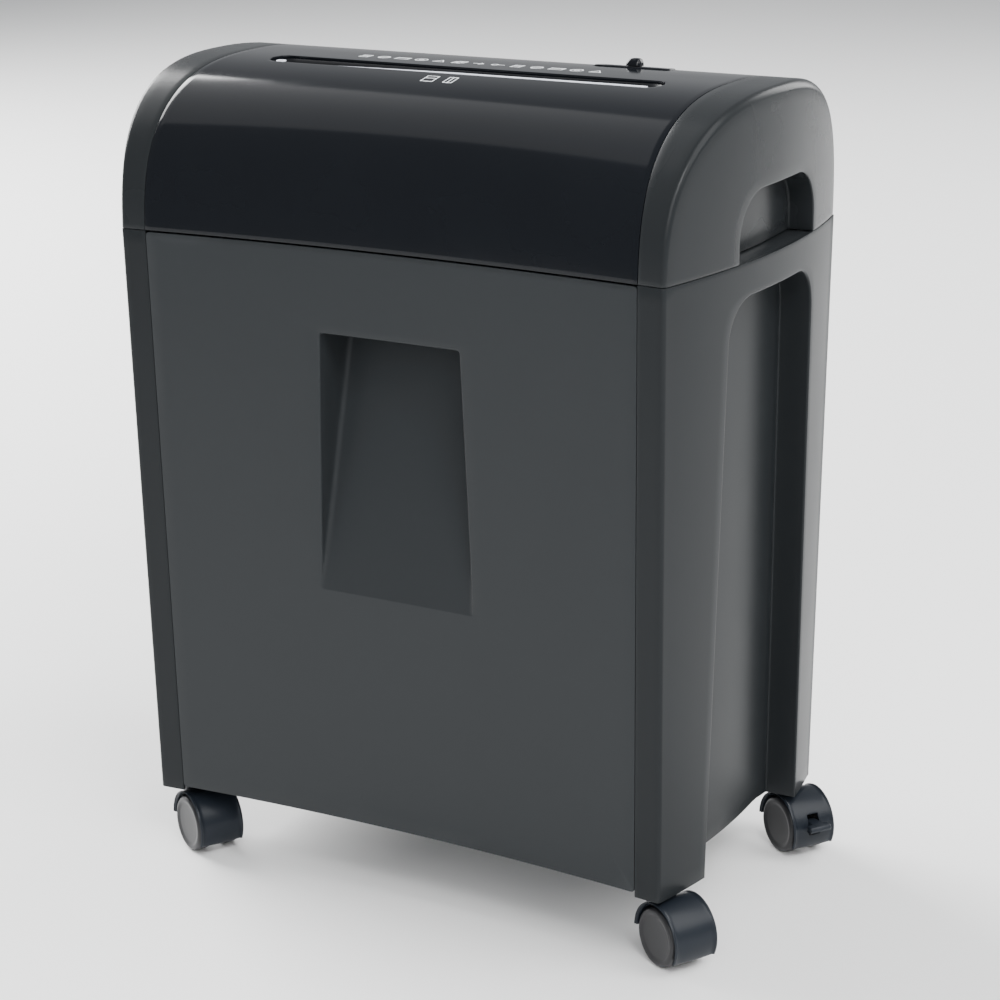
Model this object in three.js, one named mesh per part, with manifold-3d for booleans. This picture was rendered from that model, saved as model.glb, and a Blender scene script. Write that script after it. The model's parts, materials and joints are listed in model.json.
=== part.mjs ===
// A cross-cut paper shredder on swivelling casters, in millimetres, +Z up, front towards -Y.
// The origin is on the floor under the middle of the object. A motor head with a paper slot sits on
// a cabinet of two legged side frames, and a waste bin slides out of the cabinet's front.
import * as THREE from "three";
import { mergeVertices } from "three/addons/utils/BufferGeometryUtils.js";
import Module from "manifold-3d";

const wasm = await Module();
wasm.setup();

// Driving dimensions.
const WIDTH = 340; // across the front corners at the seam between head and cabinet
const DEPTH = 221; // front to back at the seam
const BODY_HEIGHT = 342; // ends of the legs to the seam
const HEAD_HEIGHT = 88; // seam to the crest of the head
const SIDE_BULGE = 12.5; // how far the middle of each side stands out beyond the corners
const FRONT_HOLLOW = 9; // how far the middle of the front lies back from the corners
const TAPER_SIDE = 3; // how far each side comes in from seam to leg ends
const TAPER_FRONT = 6;
const TAPER_REAR = 8;
const WALL = 2.6; // moulded walls
const GAP = 0.4; // between pieces that touch or rest on each other
const PILLAR = 15.6; // width of the side frame's face beside the front panel
const FRONT_CORNER = 2.5;
const REAR_CORNER = 10;

const CREST_POWER = 2.65; // squareness of the head's rounded section
const CREST_OFFSET = 3.5; // how far behind the middle the head is highest

const THROAT_Y = -20.5; // paper slot, centre line
const THROAT_MOUTH = 17;
const THROAT_LEAD = 13; // how far the mouth runs past each end of the slot
const THROAT_TIP = 6; // length of the mouth's pointed ends
const SLOT_LENGTH = 224;
const SLOT_WIDTH = 6;

const RECESS_DEPTH = 19; // leg cut-out, from the outer face to its floor
const CUTOUT_TOP = 18.5; // below the seam
const CUTOUT_FRONT_EDGE = 58.5; // from the front corner back to the cut-out
const CUTOUT_REAR_EDGE = 52.5; // from the back forward to the cut-out
const CUTOUT_RADIUS = 24;
const CUTOUT_FLARE_FRONT = 14;
const CUTOUT_FLARE_REAR = 8;
const RECESS_FOOT = 4; // the recess floor ends this far above the leg ends

const GRIP_FRONT_EDGE = 67.5; // from the front corner back to the grip pocket
const GRIP_REAR_EDGE = 54.5;
const GRIP_HEIGHT = 37;
const GRIP_RADIUS = 26;
const GRIP_DEPTH = 15;

const PULL_TOP = 48.5; // finger recess in the bin front, below the seam
const PULL_HEIGHT = 150;
const PULL_HALF = 44.5; // at the top
const PULL_DEPTH = 32;
const PULL_SPREAD = 0.12; // how much wider the recess is at its foot

const PULL_EDGE = 1.5; // bevel along the top of the recess

const PANEL_DROP = 0.8; // bin front below the seam
const PANEL_LIFT = 2.6; // bin front above the leg ends
const BASE_LIFT = 4; // base and rear panels above the leg ends
const SHEET = 2; // inner side walls of the cabinet
const BIN_WALL = 2;
const BIN_HEADROOM = 20.4; // bin rim below the seam
const BIN_FLOOR_GAP = 3; // bin floor above the base panel
const BIN_REAR_GAP = 5;
const BIN_SIDE_GAP = 5;

const CUTTER_RADIUS = 19.3;
const CUTTER_OVERLAP = 4.6; // how far the discs of one shaft reach between those of the other
const CUTTER_FLOOR_GAP = 7.7; // discs above the seam
const CUTTER_DISCS = 16;
const SHAFT_RADIUS = 6;
const HUB_RADIUS = 12;
const PLATE_SETBACK = 5; // inner face of each side plate beyond the slot's end
const PLATE_THICK = 3;
const PLATE_OVER = 28.4; // side plates above the cutter axes
const PLATE_MARGIN = 4.7; // side plates ahead of the discs
const ROD_RADIUS = 3;
const ROD_GAP = 3.4; // front tie rod clear of the discs
const COMB_GAP = 1.6; // stripper combs clear of the discs
const COMB_SPINE = 3;
const MOTOR_RADIUS = 26;
const MOTOR_LENGTH = 92;
const MOTOR_ROOM = 3.1; // motor clear of the rear comb
const MOTOR_LIFT = 2; // motor clear of the tray
const MOTOR_NOSE = 12; // bearing boss on the shaft end
const MOTOR_TAIL = 9;
const MOTOR_SHAFT = 3;
const PIN_RADIUS = 4; // fixed pin that the reduction gear turns on

const SLIDER_X = 79; // mode slider on top, behind the crest
const SLIDER_Y = 36;
const SLIDER_LENGTH = 47;
const SLIDER_WIDTH = 13;
const SLIDER_TRAVEL = 11;
const BEZEL_RISE = 0.6;
const BEZEL_DEPTH = 6;
const KNOB_RADIUS = 4.4;

const STEM_INSET = 12.5; // caster stems in from the corners' width
const STEM_FRONT_EDGE = 28.5;
const STEM_REAR_EDGE = 24.5;
const STEM_RADIUS = 4;
const STEM_LOW = 5.4; // lower end of the stem above the axle
const SOCKET_WALL = 3;
const STEM_LENGTH = 26; // the length held inside the leg
const CASTER_TRAIL = 14;
const WHEEL_RADIUS = 17;
const WHEEL_WIDTH = 9.6;
const WHEEL_SPACING = 9; // clear space between the two wheels of a caster
const HOOD_GAP = 1.3;
const HOOD_WALL = 2;
const HOOD_TAIL = -28; // where the hood ends on its trailing side, degrees
const LEG_CLEARANCE = 2.7; // hood below the ends of the legs
const AXLE_RADIUS = 2.4;
const FRONT_HEADING = -29; // direction that the front casters trail in, degrees from +X
const REAR_HEADING = -34;

const LEVER_RISE = 5; // brake pivot above the axle
const LEVER_INSET = 4.8; // brake pivot inside the hood
const LEVER_HALF = 3.4;
const LEVER_THICK = 4;

const SWITCH_X = 114; // bin switch, in the front right of the head
const SWITCH_SETBACK = 20.5;
const SWITCH_SIZE = [20, 12, 11];
const PLUNGER_SIZE = [5.2, 4]; // across, up
const PLUNGER_LIFT = 4; // top of the plunger below the seam
const SENSOR_DROP = 26; // paper flap's pivot below the crest
const SENSOR_SETBACK = 12;
const BOARD_LENGTH = 88;
const BOARD_THICK = 1.6;
const BOARD_X = 96; // right edge of the circuit board
const BOARD_COMB_GAP = 10.1; // board behind the rear comb
const BOARD_REAR_EDGE = 24.5;
const BOARD_LIFT = 3;

const CASTER_HEIGHT = 2 * WHEEL_RADIUS + HOOD_GAP + HOOD_WALL + LEG_CLEARANCE; // to the leg ends
const HALF = WIDTH / 2;
const SEAM = CASTER_HEIGHT + BODY_HEIGHT;
const CREST = SEAM + HEAD_HEIGHT;
const PANEL_HALF = HALF - PILLAR;
const CABINET_X = PANEL_HALF - WALL; // inner plane of the side frames
const TRAY_TOP = SEAM + GAP + WALL;
const PLATE_BOTTOM = TRAY_TOP + GAP;
const BASE_Z = CASTER_HEIGHT + BASE_LIFT;
const STEM_X = HALF - STEM_INSET;
const STEM_FRONT = -DEPTH / 2 + STEM_FRONT_EDGE;
const STEM_REAR = DEPTH / 2 - STEM_REAR_EDGE;
const CUTOUT_FRONT = -DEPTH / 2 + CUTOUT_FRONT_EDGE;
const CUTOUT_REAR = DEPTH / 2 - CUTOUT_REAR_EDGE;
const GRIP_FRONT = -DEPTH / 2 + GRIP_FRONT_EDGE;
const GRIP_REAR = DEPTH / 2 - GRIP_REAR_EDGE;
const PLATE_X = SLOT_LENGTH / 2 + PLATE_SETBACK;
const CUTTER_SPACING = 2 * CUTTER_RADIUS - CUTTER_OVERLAP;
const CUTTER_FRONT_Y = THROAT_Y - CUTTER_SPACING / 2;
const CUTTER_REAR_Y = THROAT_Y + CUTTER_SPACING / 2;
const CUTTER_AXIS_Z = SEAM + CUTTER_RADIUS + CUTTER_FLOOR_GAP;
const PLATE_TOP = CUTTER_AXIS_Z + PLATE_OVER;
const COMB_REACH = CUTTER_RADIUS + COMB_GAP + COMB_SPINE;
const MOTOR_Y = CUTTER_REAR_Y + COMB_REACH + MOTOR_ROOM + MOTOR_RADIUS;
const MOTOR_Z = TRAY_TOP + MOTOR_LIFT + MOTOR_RADIUS;
const PIN_CLEARANCE = 0.3; // between a shaft and what turns on it

// Solids.
function solid(geometry) {
  const bare = geometry.index ? geometry.toNonIndexed() : geometry.clone();
  bare.deleteAttribute("normal");
  bare.deleteAttribute("uv");
  const merged = mergeVertices(bare, 1e-4);
  return new wasm.Manifold(new wasm.Mesh({
    numProp: 3,
    vertProperties: new Float32Array(merged.attributes.position.array),
    triVerts: new Uint32Array(merged.index.array),
  }));
}

function geometryOf(made) {
  const mesh = made.getMesh();
  const geometry = new THREE.BufferGeometry();
  geometry.setAttribute("position", new THREE.BufferAttribute(mesh.vertProperties, mesh.numProp));
  geometry.setIndex(new THREE.BufferAttribute(mesh.triVerts, 1));
  return geometry;
}

function boxGeometry(x0, x1, y0, y1, z0, z1) {
  const geometry = new THREE.BoxGeometry(x1 - x0, y1 - y0, z1 - z0);
  return geometry.translate((x0 + x1) / 2, (y0 + y1) / 2, (z0 + z1) / 2);
}

const box = (...ends) => solid(boxGeometry(...ends));

// A closed outline in plan, pushed up from z0 to z1.
function riseGeometry(points, z0, z1, steps = 1) {
  const shape = new THREE.Shape(points);
  const geometry = new THREE.ExtrudeGeometry(shape, { depth: z1 - z0, bevelEnabled: false, steps });
  return geometry.translate(0, 0, z0);
}

// A closed outline seen from the side, as (y, z) points, pushed along X from x0 to x1.
function acrossGeometry(points, x0, x1, steps = 1) {
  const shape = new THREE.Shape(points);
  const geometry = new THREE.ExtrudeGeometry(shape, { depth: x1 - x0, bevelEnabled: false, steps });
  const turn = new THREE.Matrix4().makeBasis(
    new THREE.Vector3(0, 1, 0), new THREE.Vector3(0, 0, 1), new THREE.Vector3(1, 0, 0));
  return geometry.applyMatrix4(turn).translate(x0, 0, 0);
}

const rise = (...given) => solid(riseGeometry(...given));
const across = (...given) => solid(acrossGeometry(...given));

// A round bar along X, from x0 to x1.
function bar(radius, x0, x1, y, z, sides = 18) {
  const geometry = new THREE.CylinderGeometry(radius, radius, x1 - x0, sides);
  return solid(geometry.rotateZ(-Math.PI / 2).translate((x0 + x1) / 2, y, z));
}

// A round bar along Z, from z0 to z1.
function post(radius, x, y, z0, z1, sides = 16) {
  const geometry = new THREE.CylinderGeometry(radius, radius, z1 - z0, sides);
  return solid(geometry.rotateX(Math.PI / 2).translate(x, y, (z0 + z1) / 2));
}

function joined(pieces) {
  return pieces.reduce((sum, piece) => sum.add(piece));
}

const at = (x, y) => new THREE.Vector2(x, y);

function reshape(geometry, move) {
  const place = geometry.attributes.position;
  const point = new THREE.Vector3();
  for (let i = 0; i < place.count; i++) {
    point.fromBufferAttribute(place, i);
    move(point);
    place.setXYZ(i, point.x, point.y, point.z);
  }
  return geometry;
}

function mirrored(made) {
  const mesh = made.getMesh();
  const flipped = geometryOf(made).scale(-1, 1, 1);
  const order = flipped.index.array;
  for (let i = 0; i < mesh.numTri * 3; i += 3) [order[i + 1], order[i + 2]] = [order[i + 2], order[i + 1]];
  return solid(flipped);
}

// The shared outer form.
const sideX = (y) => HALF + SIDE_BULGE * (1 - (2 * y / DEPTH) ** 2);
const frontY = (x) => -DEPTH / 2 + FRONT_HOLLOW * (1 - (x / HALF) ** 2);

function spread(from, to, count) {
  return Array.from({ length: count + 1 }, (_, i) => from + (to - from) * i / count);
}

function arcPoints(x, y, radius, from, to, count) {
  return spread(from, to, count).map((deg) => {
    const a = deg * Math.PI / 180;
    return at(x + radius * Math.cos(a), y + radius * Math.sin(a));
  });
}

// The cabinet's outline in plan at the seam, moved in by inset.
function planOutline(inset) {
  const corner = Math.max(FRONT_CORNER - inset, 0.5);
  const rear = Math.max(REAR_CORNER - inset, 1);
  const back = DEPTH / 2 - inset;
  const half = (y) => sideX(y) - inset;
  const front = spread(-(HALF - inset - corner), HALF - inset - corner, 16)
    .map((x) => at(x, frontY(x) + inset));
  const right = spread(-DEPTH / 2 + inset + corner, back - rear, 14).map((y) => at(half(y), y));
  const turn = arcPoints(half(back - rear) - rear, back - rear, rear, 15, 90, 4);
  const rightHalf = [...right, ...turn];
  const leftHalf = rightHalf.map((p) => at(-p.x, p.y)).reverse();
  return [...front, ...rightHalf, ...leftHalf];
}

// Everything in the cabinet narrows a little from the seam down to the leg ends.
function taper(point) {
  const down = (SEAM - point.z) / BODY_HEIGHT;
  const back = (point.y + DEPTH / 2) / DEPTH;
  point.x *= 1 - TAPER_SIDE * down / HALF;
  point.y += down * (TAPER_FRONT * (1 - back) - TAPER_REAR * back);
}

const tapered = (geometry) => solid(reshape(geometry, taper));

// The head's section: nearly upright at front and back, rounding over to a flat crest.
function crestOutline(inset) {
  const base = SEAM + GAP;
  const half = DEPTH / 2 - inset;
  const tall = CREST - base - inset;
  const steps = 30;
  return spread(Math.PI, 0, steps).map((a) => {
    const c = Math.cos(a);
    const s = Math.max(Math.sin(a), 0);
    const power = 2 / CREST_POWER;
    const lean = CREST_OFFSET * s ** power;
    return at(Math.sign(c) * Math.abs(c) ** power * half + lean, base + s ** power * tall);
  });
}

// The front of the head is hollowed in plan like the cabinet, fading out towards the crest.
function hollowFront(point) {
  const ahead = Math.min(Math.max(-point.y / (DEPTH / 2), 0), 1);
  point.y += FRONT_HOLLOW * (1 - (point.x / HALF) ** 2) * ahead ** 3;
}

// Cabinet.
function cutoutOutline(grow) {
  const top = SEAM - CUTOUT_TOP + grow;
  const r = CUTOUT_RADIUS + grow;
  const front = CUTOUT_FRONT - grow;
  const rear = CUTOUT_REAR + grow;
  const low = CASTER_HEIGHT - PAST / 2;
  return [
    at(front - CUTOUT_FLARE_FRONT, low),
    at(rear + CUTOUT_FLARE_REAR, low),
    ...arcPoints(rear - r, top - r, r, 0, 90, 6),
    ...arcPoints(front + r, top - r, r, 90, 180, 6),
  ];
}

// The region of the leg cut-out outside a surface that runs parallel to the bulged side.
function cutoutBlock(grow, depth) {
  const near = spread(-DEPTH / 2, DEPTH / 2, 14).map((y) => at(sideX(y) - depth, y));
  const plan = [...near, at(WIDTH, DEPTH / 2), at(WIDTH, -DEPTH / 2)].reverse();
  const slab = tapered(riseGeometry(plan, CASTER_HEIGHT - PAST, SEAM + PAST));
  return across(cutoutOutline(grow), CABINET_X - PAST, WIDTH).intersect(slab);
}

const LEG_FLOOR = 5; // thickness of the closed leg ends
const SEAM_PLATE = 3; // thickness of the side frame's top
const PAST = 20; // how far a cutting block runs beyond what it cuts

function sideFrame() {
  const side = tapered(boxGeometry(CABINET_X, WIDTH, -DEPTH, DEPTH, CASTER_HEIGHT, SEAM));
  const outer = tapered(riseGeometry(planOutline(0), CASTER_HEIGHT, SEAM)).intersect(side);
  const inner = tapered(riseGeometry(planOutline(WALL), CASTER_HEIGHT + LEG_FLOOR, SEAM - SEAM_PLATE));
  const skin = outer.subtract(inner);
  const lining = cutoutBlock(WALL, RECESS_DEPTH + WALL).intersect(outer);
  const sockets = [STEM_FRONT, STEM_REAR].map((y) => {
    const top = CASTER_HEIGHT + STEM_LENGTH + SOCKET_WALL + 1;
    return post(STEM_RADIUS + SOCKET_WALL, STEM_X, y, CASTER_HEIGHT, top);
  });
  const bores = [STEM_FRONT, STEM_REAR].map((y) =>
    post(STEM_RADIUS + GAP, STEM_X, y, CASTER_HEIGHT - 1, CASTER_HEIGHT + STEM_LENGTH + 1));
  const foot = across(cutoutOutline(0), CABINET_X - PAST, WIDTH)
    .intersect(box(0, WIDTH, -DEPTH, DEPTH, 0, CASTER_HEIGHT + RECESS_FOOT));
  const rebate = tapered(boxGeometry(0, PANEL_HALF, -DEPTH, frontY(PANEL_HALF) + WALL + GAP,
    CASTER_HEIGHT - 1, SEAM + 1));
  return skin.add(lining).subtract(cutoutBlock(0, RECESS_DEPTH))
    .add(joined(sockets).intersect(outer)).subtract(joined(bores)).subtract(foot).subtract(rebate);
}

function cabinetSide() {
  const edge = CABINET_X - GAP;
  const front = frontY(PANEL_HALF) + WALL + GAP + BASE_LIFT;
  const rear = DEPTH / 2 - WALL - GAP;
  return tapered(boxGeometry(edge - SHEET, edge, front, rear, BASE_Z + WALL + GAP, SEAM));
}

function rearPanel() {
  const edge = CABINET_X - GAP;
  return tapered(boxGeometry(-edge, edge, DEPTH / 2 - WALL, DEPTH / 2, BASE_Z, SEAM));
}

function basePanel() {
  const edge = CABINET_X - GAP;
  const front = spread(-edge, edge, 12).map((x) => at(x, frontY(x) + WALL + GAP + 2));
  const plan = [...front, at(edge, DEPTH / 2 - WALL - GAP), at(-edge, DEPTH / 2 - WALL - GAP)];
  return tapered(riseGeometry(plan, BASE_Z, BASE_Z + WALL));
}

// Waste bin.
function pullOutline(grow) {
  const top = SEAM - PULL_TOP + grow;
  const bottom = SEAM - PULL_TOP - PULL_HEIGHT - 3 * grow;
  const face = frontY(0);
  return [
    at(face - PAST, top),
    at(face - PAST, bottom),
    at(face, bottom),
    at(face + PULL_DEPTH + grow, top - PULL_EDGE),
    at(face + PULL_DEPTH + grow - PULL_EDGE, top),
  ].reverse();
}

function pullBlock(grow) {
  const half = PULL_HALF + grow;
  const widen = (point) => {
    const down = (SEAM - PULL_TOP - point.z) / PULL_HEIGHT;
    point.x *= 1 + PULL_SPREAD * down;
  };
  return tapered(reshape(acrossGeometry(pullOutline(grow), -half, half), widen));
}

function binFront() {
  const edge = PANEL_HALF - GAP;
  const front = spread(-edge, edge, 20).map((x) => at(x, frontY(x)));
  const back = spread(edge, -edge, 20).map((x) => at(x, frontY(x) + WALL));
  const low = CASTER_HEIGHT + PANEL_LIFT;
  const high = SEAM - PANEL_DROP;
  const skin = tapered(riseGeometry([...front, ...back], low, high));
  const behind = tapered(boxGeometry(-edge, edge, frontY(0) + WALL / 2, DEPTH / 2, low, high));
  return skin.add(pullBlock(WALL).intersect(behind)).subtract(pullBlock(0));
}

function binTub() {
  const half = CABINET_X - SHEET - GAP - BIN_SIDE_GAP;
  const floor = BASE_Z + WALL + BIN_FLOOR_GAP;
  const rim = SEAM - BIN_HEADROOM;
  const front = frontY(0) + TAPER_FRONT + WALL + GAP;
  const rear = DEPTH / 2 - TAPER_REAR - WALL - BIN_REAR_GAP;
  const outer = box(-half, half, front, rear, floor, rim);
  const inner = box(-half + BIN_WALL, half - BIN_WALL, front + BIN_WALL, rear - BIN_WALL,
    floor + BIN_WALL, rim + 1);
  return outer.subtract(inner).subtract(pullBlock(WALL + GAP));
}

// Head.
function throatMouth(grow, z0, z1) {
  const half = SLOT_LENGTH / 2 + THROAT_LEAD + grow;
  const wide = THROAT_MOUTH / 2 + grow;
  const tip = THROAT_TIP;
  const plan = [
    at(-half, THROAT_Y), at(-half + tip, THROAT_Y - wide), at(half - tip, THROAT_Y - wide),
    at(half, THROAT_Y), at(half - tip, THROAT_Y + wide), at(-half + tip, THROAT_Y + wide),
  ];
  return rise(plan, z0, z1);
}

function topCover() {
  const edge = PANEL_HALF - GAP / 2;
  const band = [...crestOutline(0), ...crestOutline(WALL).reverse()].reverse();
  const shell = solid(reshape(acrossGeometry(band, -edge, edge, 8), hollowFront));
  const opening = throatMouth(0, CREST - 3 * PAST, CREST + PAST);
  const long = SLIDER_LENGTH / 2;
  const wide = SLIDER_WIDTH / 2;
  const window = onHead(box(-long, long, -wide, wide, -PAST, PAST));
  const inlet = inletBar(INLET.radius + GAP, DEPTH / 2 - PAST, DEPTH / 2 + PAST);
  return shell.subtract(opening).subtract(window).subtract(inlet);
}

function gripOutline(grow, drop) {
  const r = GRIP_RADIUS + grow;
  const top = SEAM + GRIP_HEIGHT + grow;
  return [
    at(GRIP_FRONT - grow, SEAM - drop),
    at(GRIP_REAR + grow, SEAM - drop),
    ...arcPoints(GRIP_REAR + grow - r, top - r, r, 0, 90, 6),
    ...arcPoints(GRIP_FRONT - grow + r, top - r, r, 90, 180, 6),
  ];
}

function gripBlock(grow, depth, drop) {
  const near = spread(-DEPTH / 2, DEPTH / 2, 14).map((y) => at(sideX(y) - depth, y));
  const plan = [...near, at(WIDTH, DEPTH / 2), at(WIDTH, -DEPTH / 2)].reverse();
  return across(gripOutline(grow, drop), PANEL_HALF, WIDTH).intersect(rise(plan, SEAM - PAST, CREST));
}

function endCap() {
  const inner = PANEL_HALF + GAP / 2;
  const tall = rise(planOutline(0), SEAM, CREST + PAST);
  const hollow = rise(planOutline(WALL), SEAM - PAST, CREST + PAST);
  const outer = across(crestOutline(0).reverse(), inner, WIDTH).intersect(tall);
  const room = across(crestOutline(WALL).reverse(), inner - PAST, WIDTH).intersect(hollow);
  const pocket = gripBlock(WALL, GRIP_DEPTH + WALL, 0).intersect(outer);
  const below = box(0, WIDTH, -DEPTH, DEPTH, SEAM - PAST, SEAM + GAP);
  return outer.subtract(room).add(pocket).subtract(gripBlock(0, GRIP_DEPTH, 1)).subtract(below);
}

const TRAY_INSET = 1.5; // tray inside the end caps
const CHUTE_MARGIN = 5.7; // chute wider than the discs
const LINER_WALL = 2;

function headTray() {
  const edge = PANEL_HALF - TRAY_INSET;
  const front = spread(-edge, edge, 12).map((x) => at(x, frontY(x) + WALL + 2));
  const plan = [...front, at(edge, DEPTH / 2 - WALL - 2), at(-edge, DEPTH / 2 - WALL - 2)];
  const wide = CUTTER_SPACING / 2 + CUTTER_RADIUS + CHUTE_MARGIN;
  const long = SLOT_LENGTH / 2 + LINER_WALL;
  const chute = box(-long, long, THROAT_Y - wide, THROAT_Y + wide, SEAM - PAST, TRAY_TOP + PAST);
  return rise(plan, SEAM + GAP, TRAY_TOP).subtract(chute);
}

function throatLiner() {
  const blockLow = CREST - 19.5;
  const neckTop = CREST - 15.5;
  const funnelLow = CREST - 17.5;
  const long = SLOT_LENGTH / 2;
  const narrow = SLOT_WIDTH / 2;
  const wide = THROAT_MOUTH / 2 - 1;
  const low = CUTTER_AXIS_Z + CUTTER_RADIUS + LINER_WALL;
  const under = across(crestOutline(WALL + GAP).reverse(), -HALF, HALF);
  const block = throatMouth(3, blockLow, CREST).intersect(under);
  const neck = box(-long - LINER_WALL, long + LINER_WALL, THROAT_Y - narrow - LINER_WALL,
    THROAT_Y + narrow + LINER_WALL, low, neckTop);
  const slot = box(-long, long, THROAT_Y - narrow, THROAT_Y + narrow, low - 1, CREST);
  const funnel = across([
    at(THROAT_Y - narrow, funnelLow), at(THROAT_Y + narrow, funnelLow),
    at(THROAT_Y + wide, CREST + 1), at(THROAT_Y - wide, CREST + 1),
  ], -long, long);
  return block.add(neck).subtract(slot).subtract(funnel);
}

const KNOB_FOOT = [4, 1.8]; // half sizes of the block that reaches down through the slot
const KNOB_DEPTH = 8;
const KNOB_REACH = 11; // the foot below the head's surface

// Puts a solid built round the origin on the head's surface at the slider, tilted with it.
function onHead(made) {
  const line = crestOutline(0);
  const next = line.findIndex((p) => p.x > SLIDER_Y);
  const [a, b] = [line[next - 1], line[next]];
  const height = a.y + (b.y - a.y) * (SLIDER_Y - a.x) / (b.x - a.x);
  const tilt = Math.atan2(b.y - a.y, b.x - a.x) * 180 / Math.PI;
  return made.rotate([tilt, 0, 0]).translate([SLIDER_X, SLIDER_Y, height]);
}

// The slider's raised bezel lies on the cover around a slotted window.
function sliderBezel() {
  const long = SLIDER_LENGTH / 2 - GAP;
  const wide = SLIDER_WIDTH / 2 - GAP;
  const run = SLIDER_TRAVEL + KNOB_FOOT[0] + 1;
  const half = KNOB_FOOT[1] + GAP;
  const plate = box(-long, long, -wide, wide, -BEZEL_DEPTH, BEZEL_RISE);
  return onHead(plate.subtract(box(-run, run, -half, half, -PAST, PAST)));
}

function sliderKnob() {
  const profile = arcPoints(0, BEZEL_RISE + GAP, KNOB_RADIUS, 0, 180, 10);
  const shape = new THREE.Shape(profile);
  const dome = new THREE.ExtrudeGeometry(shape, { depth: KNOB_DEPTH, bevelEnabled: false });
  dome.rotateX(Math.PI / 2).translate(0, KNOB_DEPTH / 2, 0);
  const [long, wide] = KNOB_FOOT;
  return onHead(solid(dome).add(box(-long, long, -wide, wide, -KNOB_REACH, KNOB_RADIUS)));
}

// Cutting mechanism.
const DISC_PITCH = (SLOT_LENGTH + 2) / CUTTER_DISCS;
const DISC_WIDTH = DISC_PITCH * 0.4;
const BEARING_RADIUS = 10;

// One shaft with its discs, turned as a single piece. shift moves the discs between those opposite.
function cutter(y, shift, leftEnd, rightEnd) {
  const profile = [at(0, leftEnd), at(SHAFT_RADIUS, leftEnd)];
  const first = -(CUTTER_DISCS * DISC_PITCH) / 2 + shift;
  profile.push(at(SHAFT_RADIUS, -PLATE_X + 2), at(HUB_RADIUS, -PLATE_X + 2));
  for (let i = 0; i < CUTTER_DISCS - 1; i++) {
    const x = first + i * DISC_PITCH;
    profile.push(at(HUB_RADIUS, x), at(CUTTER_RADIUS, x), at(CUTTER_RADIUS, x + DISC_WIDTH),
      at(HUB_RADIUS, x + DISC_WIDTH));
  }
  profile.push(at(HUB_RADIUS, PLATE_X - 2), at(SHAFT_RADIUS, PLATE_X - 2));
  profile.push(at(SHAFT_RADIUS, rightEnd), at(0, rightEnd));
  const turned = new THREE.LatheGeometry(profile, 12);
  return solid(turned.rotateZ(-Math.PI / 2).translate(0, y, CUTTER_AXIS_Z));
}

// Straight-flanked teeth with a wide backlash. size is the gear's module, and phase turns the
// gear, in teeth.
function gear(teeth, size, bore, x0, x1, y, z, phase) {
  const outline = [];
  const pitch = 2 * Math.PI / teeth;
  const root = teeth * size / 2 - size * 1.2;
  const tip = teeth * size / 2 + size * 0.9;
  for (let i = 0; i < teeth; i++) {
    for (const [turn, r] of [[-0.25, root], [-0.1, tip], [0.1, tip], [0.25, root]]) {
      const angle = (i + phase + turn) * pitch;
      outline.push(at(y + r * Math.cos(angle), z + r * Math.sin(angle)));
    }
  }
  const blank = across(outline, x0, x1);
  return bore ? blank.subtract(bar(bore, x0 - 1, x1 + 1, y, z, 20)) : blank;
}

const GEAR_MODULE = 1.75;
const FIRST_MODULE = 1.5;
const SYNC_TEETH = 20;
const DRIVE_TEETH = 24;
const SMALL_TEETH = 14;
const BIG_TEETH = 36;
const PINION_TEETH = 12;
const MOTOR_AXIS = at(MOTOR_Y, MOTOR_Z);
const DRIVE_AXIS = at(CUTTER_REAR_Y, CUTTER_AXIS_Z);

// The reduction gear's axis meshes with both the motor pinion and the gear on the rear cutter.
function reductionAxis() {
  const toDrive = GEAR_MODULE * (DRIVE_TEETH + SMALL_TEETH) / 2;
  const toMotor = FIRST_MODULE * (BIG_TEETH + PINION_TEETH) / 2;
  const line = MOTOR_AXIS.clone().sub(DRIVE_AXIS);
  const reach = line.length();
  const along = (toDrive ** 2 - toMotor ** 2 + reach ** 2) / (2 * reach);
  const up = Math.sqrt(toDrive ** 2 - along ** 2);
  const unit = line.divideScalar(reach);
  return at(DRIVE_AXIS.x + unit.x * along - unit.y * up, DRIVE_AXIS.y + unit.y * along + unit.x * up);
}

const REDUCTION_AXIS = reductionAxis();
const angleOf = (from, to) => Math.atan2(to.y - from.y, to.x - from.x);
const inTeeth = (angle, teeth) => angle * teeth / (2 * Math.PI);

const GEAR_OUT = PLATE_X + PLATE_THICK; // outer face of the left plate
const SYNC_LAYER = [GEAR_OUT + 2, GEAR_OUT + 8];
const DRIVE_LAYER = [GEAR_OUT + 10, GEAR_OUT + 16];
const FIRST_LAYER = [GEAR_OUT + 18, GEAR_OUT + 23];
const FREE_END = GEAR_OUT + 17;

// A gear keyed to its shaft keeps a hair of clearance and turns with it.
const KEYED = 0.3;

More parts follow.
